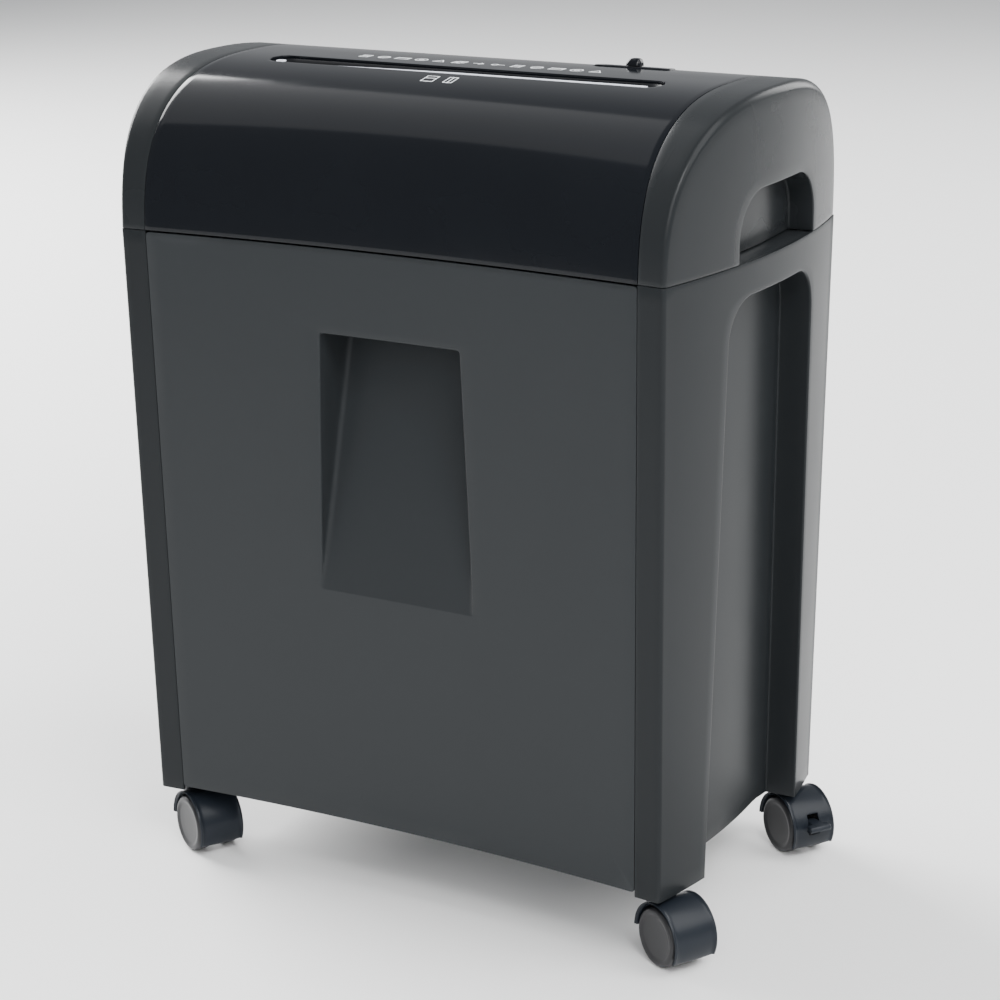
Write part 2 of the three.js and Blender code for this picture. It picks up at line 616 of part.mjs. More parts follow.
function gearTrain() {
  const syncModule = CUTTER_SPACING / SYNC_TEETH;
  const toDrive = angleOf(REDUCTION_AXIS, DRIVE_AXIS);
  const toMotor = angleOf(REDUCTION_AXIS, MOTOR_AXIS);
  const small = gear(SMALL_TEETH, GEAR_MODULE, PIN_RADIUS + PIN_CLEARANCE, -DRIVE_LAYER[1] - 1.5,
    -DRIVE_LAYER[0], REDUCTION_AXIS.x, REDUCTION_AXIS.y, inTeeth(toDrive, SMALL_TEETH));
  const big = gear(BIG_TEETH, FIRST_MODULE, PIN_RADIUS + PIN_CLEARANCE, -FIRST_LAYER[1],
    -FIRST_LAYER[0] + 0.6, REDUCTION_AXIS.x, REDUCTION_AXIS.y, inTeeth(toMotor, BIG_TEETH));
  return {
    sync_gear_front: gear(SYNC_TEETH, syncModule, SHAFT_RADIUS + KEYED, -SYNC_LAYER[1],
      -SYNC_LAYER[0], CUTTER_FRONT_Y, CUTTER_AXIS_Z, 0),
    sync_gear_rear: gear(SYNC_TEETH, syncModule, SHAFT_RADIUS + KEYED, -SYNC_LAYER[1],
      -SYNC_LAYER[0], CUTTER_REAR_Y, CUTTER_AXIS_Z, SYNC_TEETH / 2 + 0.5),
    drive_gear: gear(DRIVE_TEETH, GEAR_MODULE, SHAFT_RADIUS + KEYED, -DRIVE_LAYER[1],
      -DRIVE_LAYER[0], DRIVE_AXIS.x, DRIVE_AXIS.y, inTeeth(toDrive + Math.PI, DRIVE_TEETH) + 0.5),
    reduction_gear: small.add(big),
    motor_pinion: motorShaft().add(gear(PINION_TEETH, FIRST_MODULE, 0, -FIRST_LAYER[1],
      -FIRST_LAYER[0], MOTOR_AXIS.x, MOTOR_AXIS.y,
      inTeeth(toMotor + Math.PI, PINION_TEETH) + 0.5)),
  };
}

function sidePlate(sign) {
  const faces = sign > 0 ? [PLATE_X, PLATE_X + PLATE_THICK] : [-PLATE_X - PLATE_THICK, -PLATE_X];
  const front = CUTTER_FRONT_Y - CUTTER_RADIUS - PLATE_MARGIN;
  const rear = MOTOR_Y + MOTOR_RADIUS + 2;
  let plate = box(...faces, front, rear, PLATE_BOTTOM, PLATE_TOP);
  for (const y of [CUTTER_FRONT_Y, CUTTER_REAR_Y])
    plate = plate.subtract(bar(BEARING_RADIUS + GAP, faces[0] - 1, faces[1] + 1, y, CUTTER_AXIS_Z));
  for (const [y, z] of tieRodPlaces())
    plate = plate.subtract(bar(ROD_RADIUS + GAP, faces[0] - 1, faces[1] + 1, y, z, 16));
  if (sign < 0) {
    plate = plate.subtract(bar(MOTOR_SHAFT + 2, faces[0] - 1, faces[1] + 1, MOTOR_AXIS.x, MOTOR_AXIS.y));
    plate = plate.add(bar(PIN_RADIUS, -FIRST_LAYER[1] - 2, -PLATE_X - 1, REDUCTION_AXIS.x,
      REDUCTION_AXIS.y, 16));
  }
  return plate;
}

// One rod runs in front of and above the front discs, the other above the back of the motor.
function tieRodPlaces() {
  const around = (y, z, reach, degrees) => {
    const a = degrees * Math.PI / 180;
    return [y + reach * Math.cos(a), z + reach * Math.sin(a)];
  };
  return [
    around(CUTTER_FRONT_Y, CUTTER_AXIS_Z, CUTTER_RADIUS + ROD_RADIUS + ROD_GAP, 134.4),
    around(MOTOR_Y, MOTOR_Z, MOTOR_RADIUS + ROD_RADIUS + 1, 42.8),
  ];
}

function tieRod([y, z]) {
  const end = PLATE_X + PLATE_THICK + 0.5;
  const nutLength = 4;
  const head = bar(ROD_RADIUS + 2, end, end + nutLength, y, z, 6);
  const nut = bar(ROD_RADIUS + 2, -end - nutLength, -end, y, z, 6);
  return bar(ROD_RADIUS, -end - nutLength, end + nutLength, y, z, 16).add(head).add(nut);
}

function bearing(y, sign) {
  const x0 = sign > 0 ? PLATE_X - 1 : -PLATE_X - PLATE_THICK - 1;
  const ring = bar(BEARING_RADIUS, x0, x0 + PLATE_THICK + 2, y, CUTTER_AXIS_Z);
  return ring.subtract(bar(SHAFT_RADIUS + PIN_CLEARANCE, x0 - 1, x0 + PLATE_THICK + 3, y, CUTTER_AXIS_Z));
}

// Fingers that keep shreds out of the gaps, hung on a bar outside the discs.
function stripperComb(y, towards) {
  const low = PLATE_BOTTOM + 6;
  const high = CUTTER_AXIS_Z + 14;
  const outer = y + towards * (CUTTER_RADIUS + COMB_GAP);
  const back = outer + towards * COMB_SPINE;
  const shift = towards < 0 ? 0 : DISC_PITCH / 2;
  const fingerGap = 1.2;
  const fingerHalf = 3;
  const spine = box(-PLATE_X + GAP, PLATE_X - GAP, Math.min(outer, back), Math.max(outer, back), low, high);
  const teeth = [];
  for (let i = 0; i < CUTTER_DISCS - 2; i++) {
    const from = -(CUTTER_DISCS * DISC_PITCH) / 2 + shift + i * DISC_PITCH + DISC_WIDTH;
    const reach = y + towards * (HUB_RADIUS + 1.5);
    const to = from + DISC_PITCH - DISC_WIDTH;
    teeth.push(box(from + fingerGap, to - fingerGap, Math.min(reach, outer + towards),
      Math.max(reach, outer + towards), CUTTER_AXIS_Z - fingerHalf, CUTTER_AXIS_Z + fingerHalf));
  }
  return spine.add(joined(teeth));
}

function motor() {
  const x0 = -PLATE_X + GAP + 2;
  const can = bar(MOTOR_RADIUS, x0, x0 + MOTOR_LENGTH, MOTOR_AXIS.x, MOTOR_AXIS.y, 28);
  const nose = bar(MOTOR_NOSE, x0 - 2, x0 + 1, MOTOR_AXIS.x, MOTOR_AXIS.y);
  const tail = bar(MOTOR_TAIL, x0 + MOTOR_LENGTH - 1, x0 + MOTOR_LENGTH + 7, MOTOR_AXIS.x, MOTOR_AXIS.y);
  const bore = bar(MOTOR_SHAFT + 1, x0 - 3, x0 + 20, MOTOR_AXIS.x, MOTOR_AXIS.y, 16);
  return can.add(nose).add(tail).subtract(bore);
}

function motorShaft() {
  return bar(MOTOR_SHAFT, -FIRST_LAYER[1] - 1, -PLATE_X + 18, MOTOR_AXIS.x, MOTOR_AXIS.y, 16);
}

// Electrics.
// A card on four feet with a transformer, a relay and the switch under the mode slider.
function circuitBoard() {
  const inset = 4;
  const x0 = BOARD_X - BOARD_LENGTH;
  const y0 = CUTTER_REAR_Y + COMB_REACH + BOARD_COMB_GAP;
  const y1 = DEPTH / 2 - BOARD_REAR_EDGE;
  const z0 = TRAY_TOP + BOARD_LIFT;
  const on = (x, y, sizeX, sizeY, sizeZ) => box(x, x + sizeX, y, y + sizeY, z0 + 1, z0 + 1 + sizeZ);
  const feet = [x0 + inset, BOARD_X - inset].flatMap((x) =>
    [y0 + inset, y1 - inset].map((y) => post(2.5, x, y, TRAY_TOP + GAP, z0 + 1, 12)));
  return joined([
    box(x0, BOARD_X, y0, y1, z0, z0 + BOARD_THICK),
    on(x0 + 8, y1 - 32, 24, 24, 23),
    on(x0 + 42, y1 - 32, 18, 16, 16),
    on(x0 + 54, y0, 29, 12, 9),
    ...feet,
  ]);
}

// The bin switch hangs under the head. Its plunger stands out towards the bin front.
const SWITCH_FRONT = -DEPTH / 2 + SWITCH_SETBACK;

function plungerBox(grow, front, back) {
  const [across, up] = PLUNGER_SIZE;
  const half = across / 2 + grow;
  const top = SEAM - PLUNGER_LIFT;
  return box(SWITCH_X - half, SWITCH_X + half, front, back, top - up - grow, top + grow);
}

function binSwitch() {
  const [long, wide, tall] = SWITCH_SIZE;
  const body = box(SWITCH_X - long / 2, SWITCH_X + long / 2, SWITCH_FRONT, SWITCH_FRONT + wide,
    SEAM - tall, SEAM);
  return body.subtract(plungerBox(GAP, SWITCH_FRONT - 1, SWITCH_FRONT + 7));
}

function switchPlunger() {
  return plungerBox(0, frontY(SWITCH_X) + WALL + 2.2, SWITCH_FRONT + 3.5);
}

// The paper flap hangs in the slot's neck and is pushed aside by a sheet.
const SENSOR_PIVOT = [THROAT_Y + SENSOR_SETBACK, CREST - SENSOR_DROP];

function paperSensor() {
  const [y, z] = SENSOR_PIVOT;
  const hubSize = 3;
  const half = 1.5;
  const drop = 7;
  const hub = bar(hubSize, -hubSize, hubSize, y, z, 16);
  const arm = box(-half, half, THROAT_Y + SLOT_WIDTH / 2 + LINER_WALL + 1, y, z - drop, z - 3);
  const web = box(-half, half, y - 2.4, y + 2.4, z - drop, z);
  return joined([hub, web, arm]);
}

const INLET = { x: -118, z: SEAM + 17, radius: 6.5, bore: 3.6, lip: 2, length: 11, lipLength: 3 };

function inletBar(radius, y0, y1) {
  const geometry = new THREE.CylinderGeometry(radius, radius, y1 - y0, 16);
  return solid(geometry.translate(INLET.x, (y0 + y1) / 2, INLET.z));
}

// A rubber bush through the rear wall, with a lip inside.
function cordInlet() {
  const back = DEPTH / 2;
  const front = back - INLET.length;
  return inletBar(INLET.radius, front, back)
    .add(inletBar(INLET.radius + INLET.lip, front, front + INLET.lipLength))
    .subtract(inletBar(INLET.bore, back - PAST, back + PAST));
}

// Casters.
const HOOD_INNER = WHEEL_RADIUS + HOOD_GAP;
const HOOD_OUTER = HOOD_INNER + HOOD_WALL;
const HOOD_HALF = WHEEL_SPACING / 2 + WHEEL_WIDTH;
const WEB_HALF = WHEEL_SPACING / 2 - GAP;
const LEVER_PIVOT = [CASTER_TRAIL + HOOD_INNER - LEVER_INSET, WHEEL_RADIUS + LEVER_RISE];

// Built with the stem on the Z axis, trailing along +X, its axle along Y.
function casterHood(braked) {
  const high = CASTER_HEIGHT - GAP;
  const arch = [...arcPoints(CASTER_TRAIL, WHEEL_RADIUS, HOOD_OUTER, HOOD_TAIL, 178, 13),
    ...arcPoints(CASTER_TRAIL, WHEEL_RADIUS, HOOD_INNER, 178, HOOD_TAIL, 13)];
  const disc = [...arcPoints(CASTER_TRAIL, WHEEL_RADIUS, HOOD_INNER + 1, braked ? 60 : -30, 176, 9),
    ...arcPoints(CASTER_TRAIL, WHEEL_RADIUS, 6, 240, 300, 3)];
  const upright = (points, half) => {
    const shape = new THREE.Shape(points);
    const geometry = new THREE.ExtrudeGeometry(shape, { depth: 2 * half, bevelEnabled: false });
    return solid(geometry.rotateX(Math.PI / 2).translate(0, half, 0));
  };
  const shell = upright(arch, HOOD_HALF).add(upright(disc, WEB_HALF));
  const collar = post(STEM_RADIUS + 4, 0, 0, WHEEL_RADIUS + 3, high);
  const clear = joined([1, -1].map((sign) => {
    const middle = sign * (WHEEL_SPACING / 2 + WHEEL_WIDTH / 2);
    const wheelRoom = new THREE.CylinderGeometry(HOOD_INNER, HOOD_INNER, WHEEL_WIDTH + 2 * GAP, 18);
    return solid(wheelRoom.translate(CASTER_TRAIL, middle, WHEEL_RADIUS));
  }));
  const axleHole = AXLE_RADIUS + GAP / 2;
  const axle = new THREE.CylinderGeometry(axleHole, axleHole, 4 * HOOD_HALF, 16);
  const stem = post(STEM_RADIUS + GAP / 2, 0, 0, WHEEL_RADIUS + STEM_LOW - GAP, CASTER_HEIGHT + PAST);
  const made = shell.add(collar.subtract(clear))
    .subtract(solid(axle.translate(CASTER_TRAIL, 0, WHEEL_RADIUS))).subtract(stem);
  if (!braked) return made;
  const half = LEVER_HALF + GAP;
  const window = box(CASTER_TRAIL + HOOD_INNER - 8.3, CASTER_TRAIL + HOOD_OUTER + PAST, -half, half,
    LEVER_PIVOT[1] - 6, LEVER_PIVOT[1] + 6);
  return made.subtract(window);
}

function casterStem() {
  return post(STEM_RADIUS, 0, 0, WHEEL_RADIUS + STEM_LOW, CASTER_HEIGHT + STEM_LENGTH);
}

function casterAxle() {
  const half = WHEEL_SPACING / 2 + WHEEL_WIDTH - 3;
  const pin = new THREE.CylinderGeometry(AXLE_RADIUS, AXLE_RADIUS, 2 * half, 16);
  return solid(pin.translate(CASTER_TRAIL, 0, WHEEL_RADIUS));
}

// A closed outer face with a softened rim, and a blind bore for the axle.
function casterWheel(side) {
  const bore = AXLE_RADIUS + PIN_CLEARANCE;
  const inner = WHEEL_SPACING / 2;
  const outer = inner + WHEEL_WIDTH;
  const profile = [
    at(0, outer - 1), at(WHEEL_RADIUS - 4, outer - 1), at(WHEEL_RADIUS - 2.2, outer),
    at(WHEEL_RADIUS - 0.8, outer - 0.6), at(WHEEL_RADIUS, outer - 2), at(WHEEL_RADIUS, inner + 1),
    at(WHEEL_RADIUS - 1, inner), at(bore, inner), at(bore, outer - 2.4), at(0, outer - 2.4),
  ].reverse();
  const turned = new THREE.LatheGeometry(profile, 20);
  if (side < 0) turned.rotateZ(Math.PI);
  return solid(turned.translate(CASTER_TRAIL, 0, WHEEL_RADIUS));
}

function brakeLever() {
  const [x, z] = LEVER_PIVOT;
  const half = LEVER_THICK / 2;
  const outside = CASTER_TRAIL + HOOD_OUTER;
  const tongue = box(x - 1.5, outside + 3, -LEVER_HALF, LEVER_HALF, z - half, z + half);
  const pad = box(outside + 1.6, outside + 7.5, -7, 7, z - half - 0.6, z + half);
  return tongue.add(pad);
}

// Materials.
function finish(colour, roughness, metalness = 0) {
  return () => new THREE.MeshStandardMaterial({ color: colour, roughness, metalness });
}

const gloss = finish(0x1b1f22, 0.12);
const satin = finish(0x3a3f42, 0.5);
const inside = finish(0x1a1c1e, 0.7);
const hoodPlastic = finish(0x1d2229, 0.42);
const wheelPlastic = finish(0x3a3a3b, 0.5);
const steel = finish(0xb4b7ba, 0.35, 0.9);
const darkSteel = finish(0x5a5c60, 0.45, 0.8);
const nylon = finish(0xd9d4c5, 0.6);
const bronze = finish(0x9a7743, 0.5, 0.7);
const board = finish(0x1f5d38, 0.6);
const lamp = finish(0x3f8cff, 0.2);
const rubber = finish(0x121212, 0.85);

// Assembly.
const shredder = new THREE.Group();

function place(group, name, made, material) {
  const mesh = new THREE.Mesh(geometryOf(made), material());
  mesh.name = name;
  group.add(mesh);
  return mesh;
}

function pair(group, name, made, material) {
  place(group, name + "_right", made, material);
  place(group, name + "_left", mirrored(made), material);
}

const cabinet = new THREE.Group();
pair(cabinet, "side_frame", sideFrame(), satin);
pair(cabinet, "cabinet_side", cabinetSide(), inside);
place(cabinet, "rear_panel", rearPanel(), satin);
place(cabinet, "base_panel", basePanel(), inside);
shredder.add(cabinet);

const bin = new THREE.Group();
place(bin, "bin_front", binFront(), satin);
place(bin, "bin_tub", binTub(), inside);
shredder.add(bin);

const head = new THREE.Group();
place(head, "top_cover", topCover(), gloss);
pair(head, "end_cap", endCap(), satin);
place(head, "head_tray", headTray(), inside);
place(head, "throat_liner", throatLiner(), inside);
place(head, "slider_bezel", sliderBezel(), gloss);
place(head, "mode_slider", sliderKnob(), inside);
place(head, "cord_inlet", cordInlet(), rubber);
shredder.add(head);

const mechanism = new THREE.Group();
place(mechanism, "cutter_front", cutter(CUTTER_FRONT_Y, 0, -DRIVE_LAYER[0] + 1, GEAR_OUT + 4), steel);
place(mechanism, "cutter_rear", cutter(CUTTER_REAR_Y, DISC_PITCH / 2, -FREE_END, GEAR_OUT + 4), steel);
place(mechanism, "side_plate_right", sidePlate(1), darkSteel);
place(mechanism, "side_plate_left", sidePlate(-1), darkSteel);
tieRodPlaces().forEach((spot, i) => place(mechanism, "tie_rod_" + (i + 1), tieRod(spot), steel));
for (const [label, y] of [["front", CUTTER_FRONT_Y], ["rear", CUTTER_REAR_Y]]) {
  place(mechanism, "bearing_" + label + "_right", bearing(y, 1), bronze);
  place(mechanism, "bearing_" + label + "_left", bearing(y, -1), bronze);
}
place(mechanism, "stripper_comb_front", stripperComb(CUTTER_FRONT_Y, -1), inside);
place(mechanism, "stripper_comb_rear", stripperComb(CUTTER_REAR_Y, 1), inside);
for (const [name, made] of Object.entries(gearTrain())) place(mechanism, name, made, nylon);
place(mechanism, "motor", motor(), darkSteel);
shredder.add(mechanism);

const electrics = new THREE.Group();
place(electrics, "circuit_board", circuitBoard(), board);
place(electrics, "bin_switch", binSwitch(), inside);
place(electrics, "switch_plunger", switchPlunger(), bronze);
place(electrics, "paper_sensor", paperSensor(), lamp);
shredder.add(electrics);

function addCaster(label, x, y, heading, braked) {
  const caster = new THREE.Group();
  place(caster, "caster_hood_" + label, casterHood(braked), hoodPlastic);
  place(caster, "caster_stem_" + label, casterStem(), steel);
  place(caster, "caster_axle_" + label, casterAxle(), steel);
  place(caster, "wheel_inner_" + label, casterWheel(1), wheelPlastic);
  place(caster, "wheel_outer_" + label, casterWheel(-1), wheelPlastic);
  if (braked) place(caster, "brake_lever_" + label, brakeLever(), hoodPlastic);
  caster.position.set(x, y, 0);
  caster.rotation.z = THREE.MathUtils.degToRad(heading);
  shredder.add(caster);
}

addCaster("front_right", STEM_X, STEM_FRONT, FRONT_HEADING, false);
addCaster("front_left", -STEM_X, STEM_FRONT, FRONT_HEADING, false);
addCaster("rear_right", STEM_X, STEM_REAR, REAR_HEADING, true);
addCaster("rear_left", -STEM_X, STEM_REAR, 180 - REAR_HEADING, true);

export default shredder;
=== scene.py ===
import json
import math

import bmesh
import bpy
import numpy as np
from mathutils import Matrix, Vector


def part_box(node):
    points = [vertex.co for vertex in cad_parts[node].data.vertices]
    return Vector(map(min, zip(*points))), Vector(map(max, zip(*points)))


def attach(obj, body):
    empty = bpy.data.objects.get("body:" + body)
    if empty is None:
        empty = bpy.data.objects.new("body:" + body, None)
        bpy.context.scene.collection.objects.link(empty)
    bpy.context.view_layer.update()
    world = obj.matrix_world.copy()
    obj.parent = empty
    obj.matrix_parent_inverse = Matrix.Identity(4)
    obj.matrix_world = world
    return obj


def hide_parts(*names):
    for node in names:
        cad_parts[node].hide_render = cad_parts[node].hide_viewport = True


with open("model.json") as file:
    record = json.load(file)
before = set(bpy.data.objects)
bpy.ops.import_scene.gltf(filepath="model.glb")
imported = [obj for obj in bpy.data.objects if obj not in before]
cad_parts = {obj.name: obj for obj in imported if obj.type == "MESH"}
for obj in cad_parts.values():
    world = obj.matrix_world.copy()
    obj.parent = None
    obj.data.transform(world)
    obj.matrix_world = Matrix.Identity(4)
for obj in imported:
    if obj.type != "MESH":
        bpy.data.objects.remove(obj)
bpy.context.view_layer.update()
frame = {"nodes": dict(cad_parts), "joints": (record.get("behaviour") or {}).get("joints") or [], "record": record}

mm = 0.001  # shapes are worked out in millimetres and placed in metres


def boxOf(node):
    low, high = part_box(node)
    return low / mm, high / mm


def spread(start, end, count):
    return [start + (end - start) * i / count for i in range(count + 1)]


def mix(a, b, share):
    return a + (b - a) * share


def clamp(value, low=0.0, high=1.0):
    return min(max(value, low), high)


# The outer form, read off the frame.
coverBox = boxOf("top_cover")
sideBox = boxOf("side_frame_right")
binBox = boxOf("bin_front")

form = {
    "sideBulge": 12.5,
    "frontHollow": 9.0,
    "taperSide": 3.0,
    "taperFront": 6.0,
    "taperRear": 8.0,
    "crestPower": 2.65,
    "crestOffset": 3.5,
    "gap": 0.4,
    "frontCorner": 2.5,
    "rearCorner": 10.0,
    "legEnd": sideBox[0].z,
    "seam": sideBox[1].z,
    "crest": coverBox[1].z,
    "back": coverBox[1].y,
    "panelHalf": coverBox[1].x + 0.2,
}
form["half"] = sideBox[1].x - form["sideBulge"]


def sideX(y):
    return form["half"] + form["sideBulge"] * (1 - (y / form["back"]) ** 2)


def frontY(x):
    return -form["back"] + form["frontHollow"] * (1 - (x / form["half"]) ** 2)


def taper(p):
    down = (form["seam"] - p.z) / (form["seam"] - form["legEnd"])
    back = (p.y + form["back"]) / (2 * form["back"])
    lean = form["taperFront"] * (1 - back) - form["taperRear"] * back
    return Vector((p.x * (1 - form["taperSide"] * down / form["half"]), p.y + down * lean, p.z))


def hollow(p):
    ahead = clamp(-p.y / form["back"])
    push = form["frontHollow"] * (1 - (p.x / form["half"]) ** 2) * ahead ** 3
    return Vector((p.x, p.y + push, p.z))


def crestPath(inset, steps=900):
    base = form["seam"] + form["gap"]
    turn = np.linspace(math.pi, 0, steps)
    c, s = np.cos(turn), np.clip(np.sin(turn), 0, None)
    power = 2 / form["crestPower"]
    y = np.sign(c) * np.abs(c) ** power * (form["back"] - inset) + form["crestOffset"] * s ** power
    z = base + s ** power * (form["crest"] - base - inset)
    length = np.concatenate([[0], np.cumsum(np.hypot(np.diff(y), np.diff(z)))])
    return length / length[-1], y, z


crestLine = crestPath(0)


def crestAt(share, path=crestLine):
    return float(np.interp(share, path[0], path[1])), float(np.interp(share, path[0], path[2]))


def crestShare(y):
    return float(np.interp(y, crestLine[1], crestLine[0]))


# Meshes: rings of points woven into skins, then given a wall and eased edges.
def weave(bm, rings, closed=False):
    rows = [[bm.verts.new(p * mm) for p in ring] for ring in rings]
    for lower, upper in zip(rows, rows[1:]):
        count = len(lower)
        for i in range(count if closed else count - 1):
            j = (i + 1) % count
            bm.faces.new((lower[i], lower[j], upper[j], upper[i]))
    return rows


def capOff(bm, ring):
    bm.faces.new([bm.verts.new(p * mm) for p in ring])


def grid(bm, us, vs, point, holes=()):
    rows = [[bm.verts.new(point(u, v) * mm) for u in us] for v in vs]
    for j in range(len(vs) - 1):
        for i in range(len(us) - 1):
            if any(a <= i < b and c <= j < d for a, b, c, d in holes):
                continue
            bm.faces.new((rows[j][i], rows[j][i + 1], rows[j + 1][i + 1], rows[j + 1][i]))


def newObject(name, mesh):
    made = bpy.data.objects.new(name, mesh)
    bpy.context.scene.collection.objects.link(made)
    return made


def bake(made):
    depsgraph = bpy.context.evaluated_depsgraph_get()
    mesh = bpy.data.meshes.new_from_object(made.evaluated_get(depsgraph))
    old = made.data
    made.modifiers.clear()
    made.data = mesh
    mesh.name = made.name
    bpy.data.meshes.remove(old)
    return made


def soften(made, angle=38):
    made.data.shade_smooth()
    made.data.set_sharp_from_angle(angle=math.radians(angle))
    return made


def closeUp(bm, centre=None):
    bmesh.ops.remove_doubles(bm, verts=bm.verts, dist=2e-6)
    bmesh.ops.dissolve_degenerate(bm, edges=bm.edges, dist=1e-6)
    bmesh.ops.recalc_face_normals(bm, faces=bm.faces)
    if centre is None:
        return
    middle = Vector(centre) * mm
    flow = sum(f.calc_area() * f.normal.dot(f.calc_center_median() - middle) for f in bm.faces)
    if flow < 0:
        bmesh.ops.reverse_faces(bm, faces=bm.faces)


def shell(name, bm, centre, wall=2.2, edge=0.6, steps=2, angle=50, inward=True):
    closeUp(bm, centre)
    mesh = bpy.data.meshes.new(name)
    bm.to_mesh(mesh)
    bm.free()
    made = newObject(name, mesh)
    thicken = made.modifiers.new("wall", "SOLIDIFY")
    thicken.thickness = wall * mm
    thicken.offset = -1 if inward else 1
    if edge:
        ease = made.modifiers.new("edge", "BEVEL")
        ease.width = edge * mm
        ease.segments = steps
        ease.limit_method = "ANGLE"
        ease.angle_limit = math.radians(angle)
        ease.use_clamp_overlap = True
    return soften(bake(made))


def closedBody(name, bm, edge=0.5, steps=2, angle=50):
    closeUp(bm)
    mesh = bpy.data.meshes.new(name)
    bm.to_mesh(mesh)
    bm.free()
    made = newObject(name, mesh)
    if edge:
        ease = made.modifiers.new("edge", "BEVEL")
        ease.width = edge * mm
        ease.segments = steps
        ease.limit_method = "ANGLE"
        ease.angle_limit = math.radians(angle)
    return soften(bake(made))


def lathe(bm, profile, steps, place):
    rings = []
    for i in range(steps):
        turn = 2 * math.pi * i / steps
        rings.append([place(Vector((r * math.cos(turn), h, r * math.sin(turn)))) for r, h in profile])
    rings.append(rings[0])
    weave(bm, rings)


def prism(bm, outline, low, high, place):
    count = len(outline)
    bottom = [bm.verts.new(place(Vector((p[0], p[1], low))) * mm) for p in outline]
    top = [bm.verts.new(place(Vector((p[0], p[1], high))) * mm) for p in outline]
    bm.faces.new(bottom[::-1])
    bm.faces.new(top)
    for i in range(count):
        j = (i + 1) % count
        bm.faces.new((bottom[i], bottom[j], top[j], top[i]))


def fit(made, body, slot, material, *nodes):
    made.data.materials.clear()
    made.data.materials.append(material)
    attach(made, body)
    if nodes:
        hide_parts(*nodes)
    return made


def arc(x, y, radius, start, end, steps):
    turns = [math.radians(a) for a in spread(start, end, steps)]
    return [(x + radius * math.cos(a), y + radius * math.sin(a)) for a in turns]


# Shader groups shared by the materials.
def socketIn(group, name, kind, value):
    made = group.interface.new_socket(name, in_out="INPUT", socket_type=kind)
    made.default_value = value
    return made


def link(tree, a, b):
    tree.links.new(a, b)


def makeGrainGroup():
    group = bpy.data.node_groups.new("mouldGrain", "ShaderNodeTree")
    socketIn(group, "Scale", "NodeSocketFloat", 900.0)
    socketIn(group, "Tone", "NodeSocketColor", (0.05, 0.05, 0.05, 1))
    socketIn(group, "Tone Spread", "NodeSocketFloat", 0.12)
    socketIn(group, "Roughness", "NodeSocketFloat", 0.45)
    socketIn(group, "Roughness Spread", "NodeSocketFloat", 0.06)
    for name, kind in (("Color", "NodeSocketColor"), ("Roughness", "NodeSocketFloat"),
                       ("Height", "NodeSocketFloat")):
        group.interface.new_socket(name, in_out="OUTPUT", socket_type=kind)
    nodes = group.nodes
    given, out = nodes.new("NodeGroupInput"), nodes.new("NodeGroupOutput")
    where = nodes.new("ShaderNodeTexCoord")
    fine = nodes.new("ShaderNodeTexNoise")
    fine.inputs["Detail"].default_value = 3
    broad = nodes.new("ShaderNodeTexNoise")
    broad.inputs["Scale"].default_value = 14
    broad.inputs["Detail"].default_value = 4
    link(group, where.outputs["Object"], fine.inputs["Vector"])
    link(group, where.outputs["Object"], broad.inputs["Vector"])
    link(group, given.outputs["Scale"], fine.inputs["Scale"])
    centred = nodes.new("ShaderNodeMath")
    centred.operation = "SUBTRACT"
    centred.inputs[1].default_value = 0.5
    link(group, broad.outputs["Fac"], centred.inputs[0])
    tone = nodes.new("ShaderNodeMath")
    tone.operation = "MULTIPLY_ADD"
    tone.inputs[2].default_value = 1.0
    link(group, centred.outputs[0], tone.inputs[0])
    link(group, given.outputs["Tone Spread"], tone.inputs[1])
    shade = nodes.new("ShaderNodeVectorMath")
    shade.operation = "SCALE"
    link(group, given.outputs["Tone"], shade.inputs[0])
    link(group, tone.outputs[0], shade.inputs["Scale"])
    rough = nodes.new("ShaderNodeMath")
    rough.operation = "MULTIPLY_ADD"
    link(group, centred.outputs[0], rough.inputs[0])
    link(group, given.outputs["Roughness Spread"], rough.inputs[1])
    link(group, given.outputs["Roughness"], rough.inputs[2])
    link(group, shade.outputs[0], out.inputs["Color"])
    link(group, rough.outputs[0], out.inputs["Roughness"])
    link(group, fine.outputs["Fac"], out.inputs["Height"])
    return group


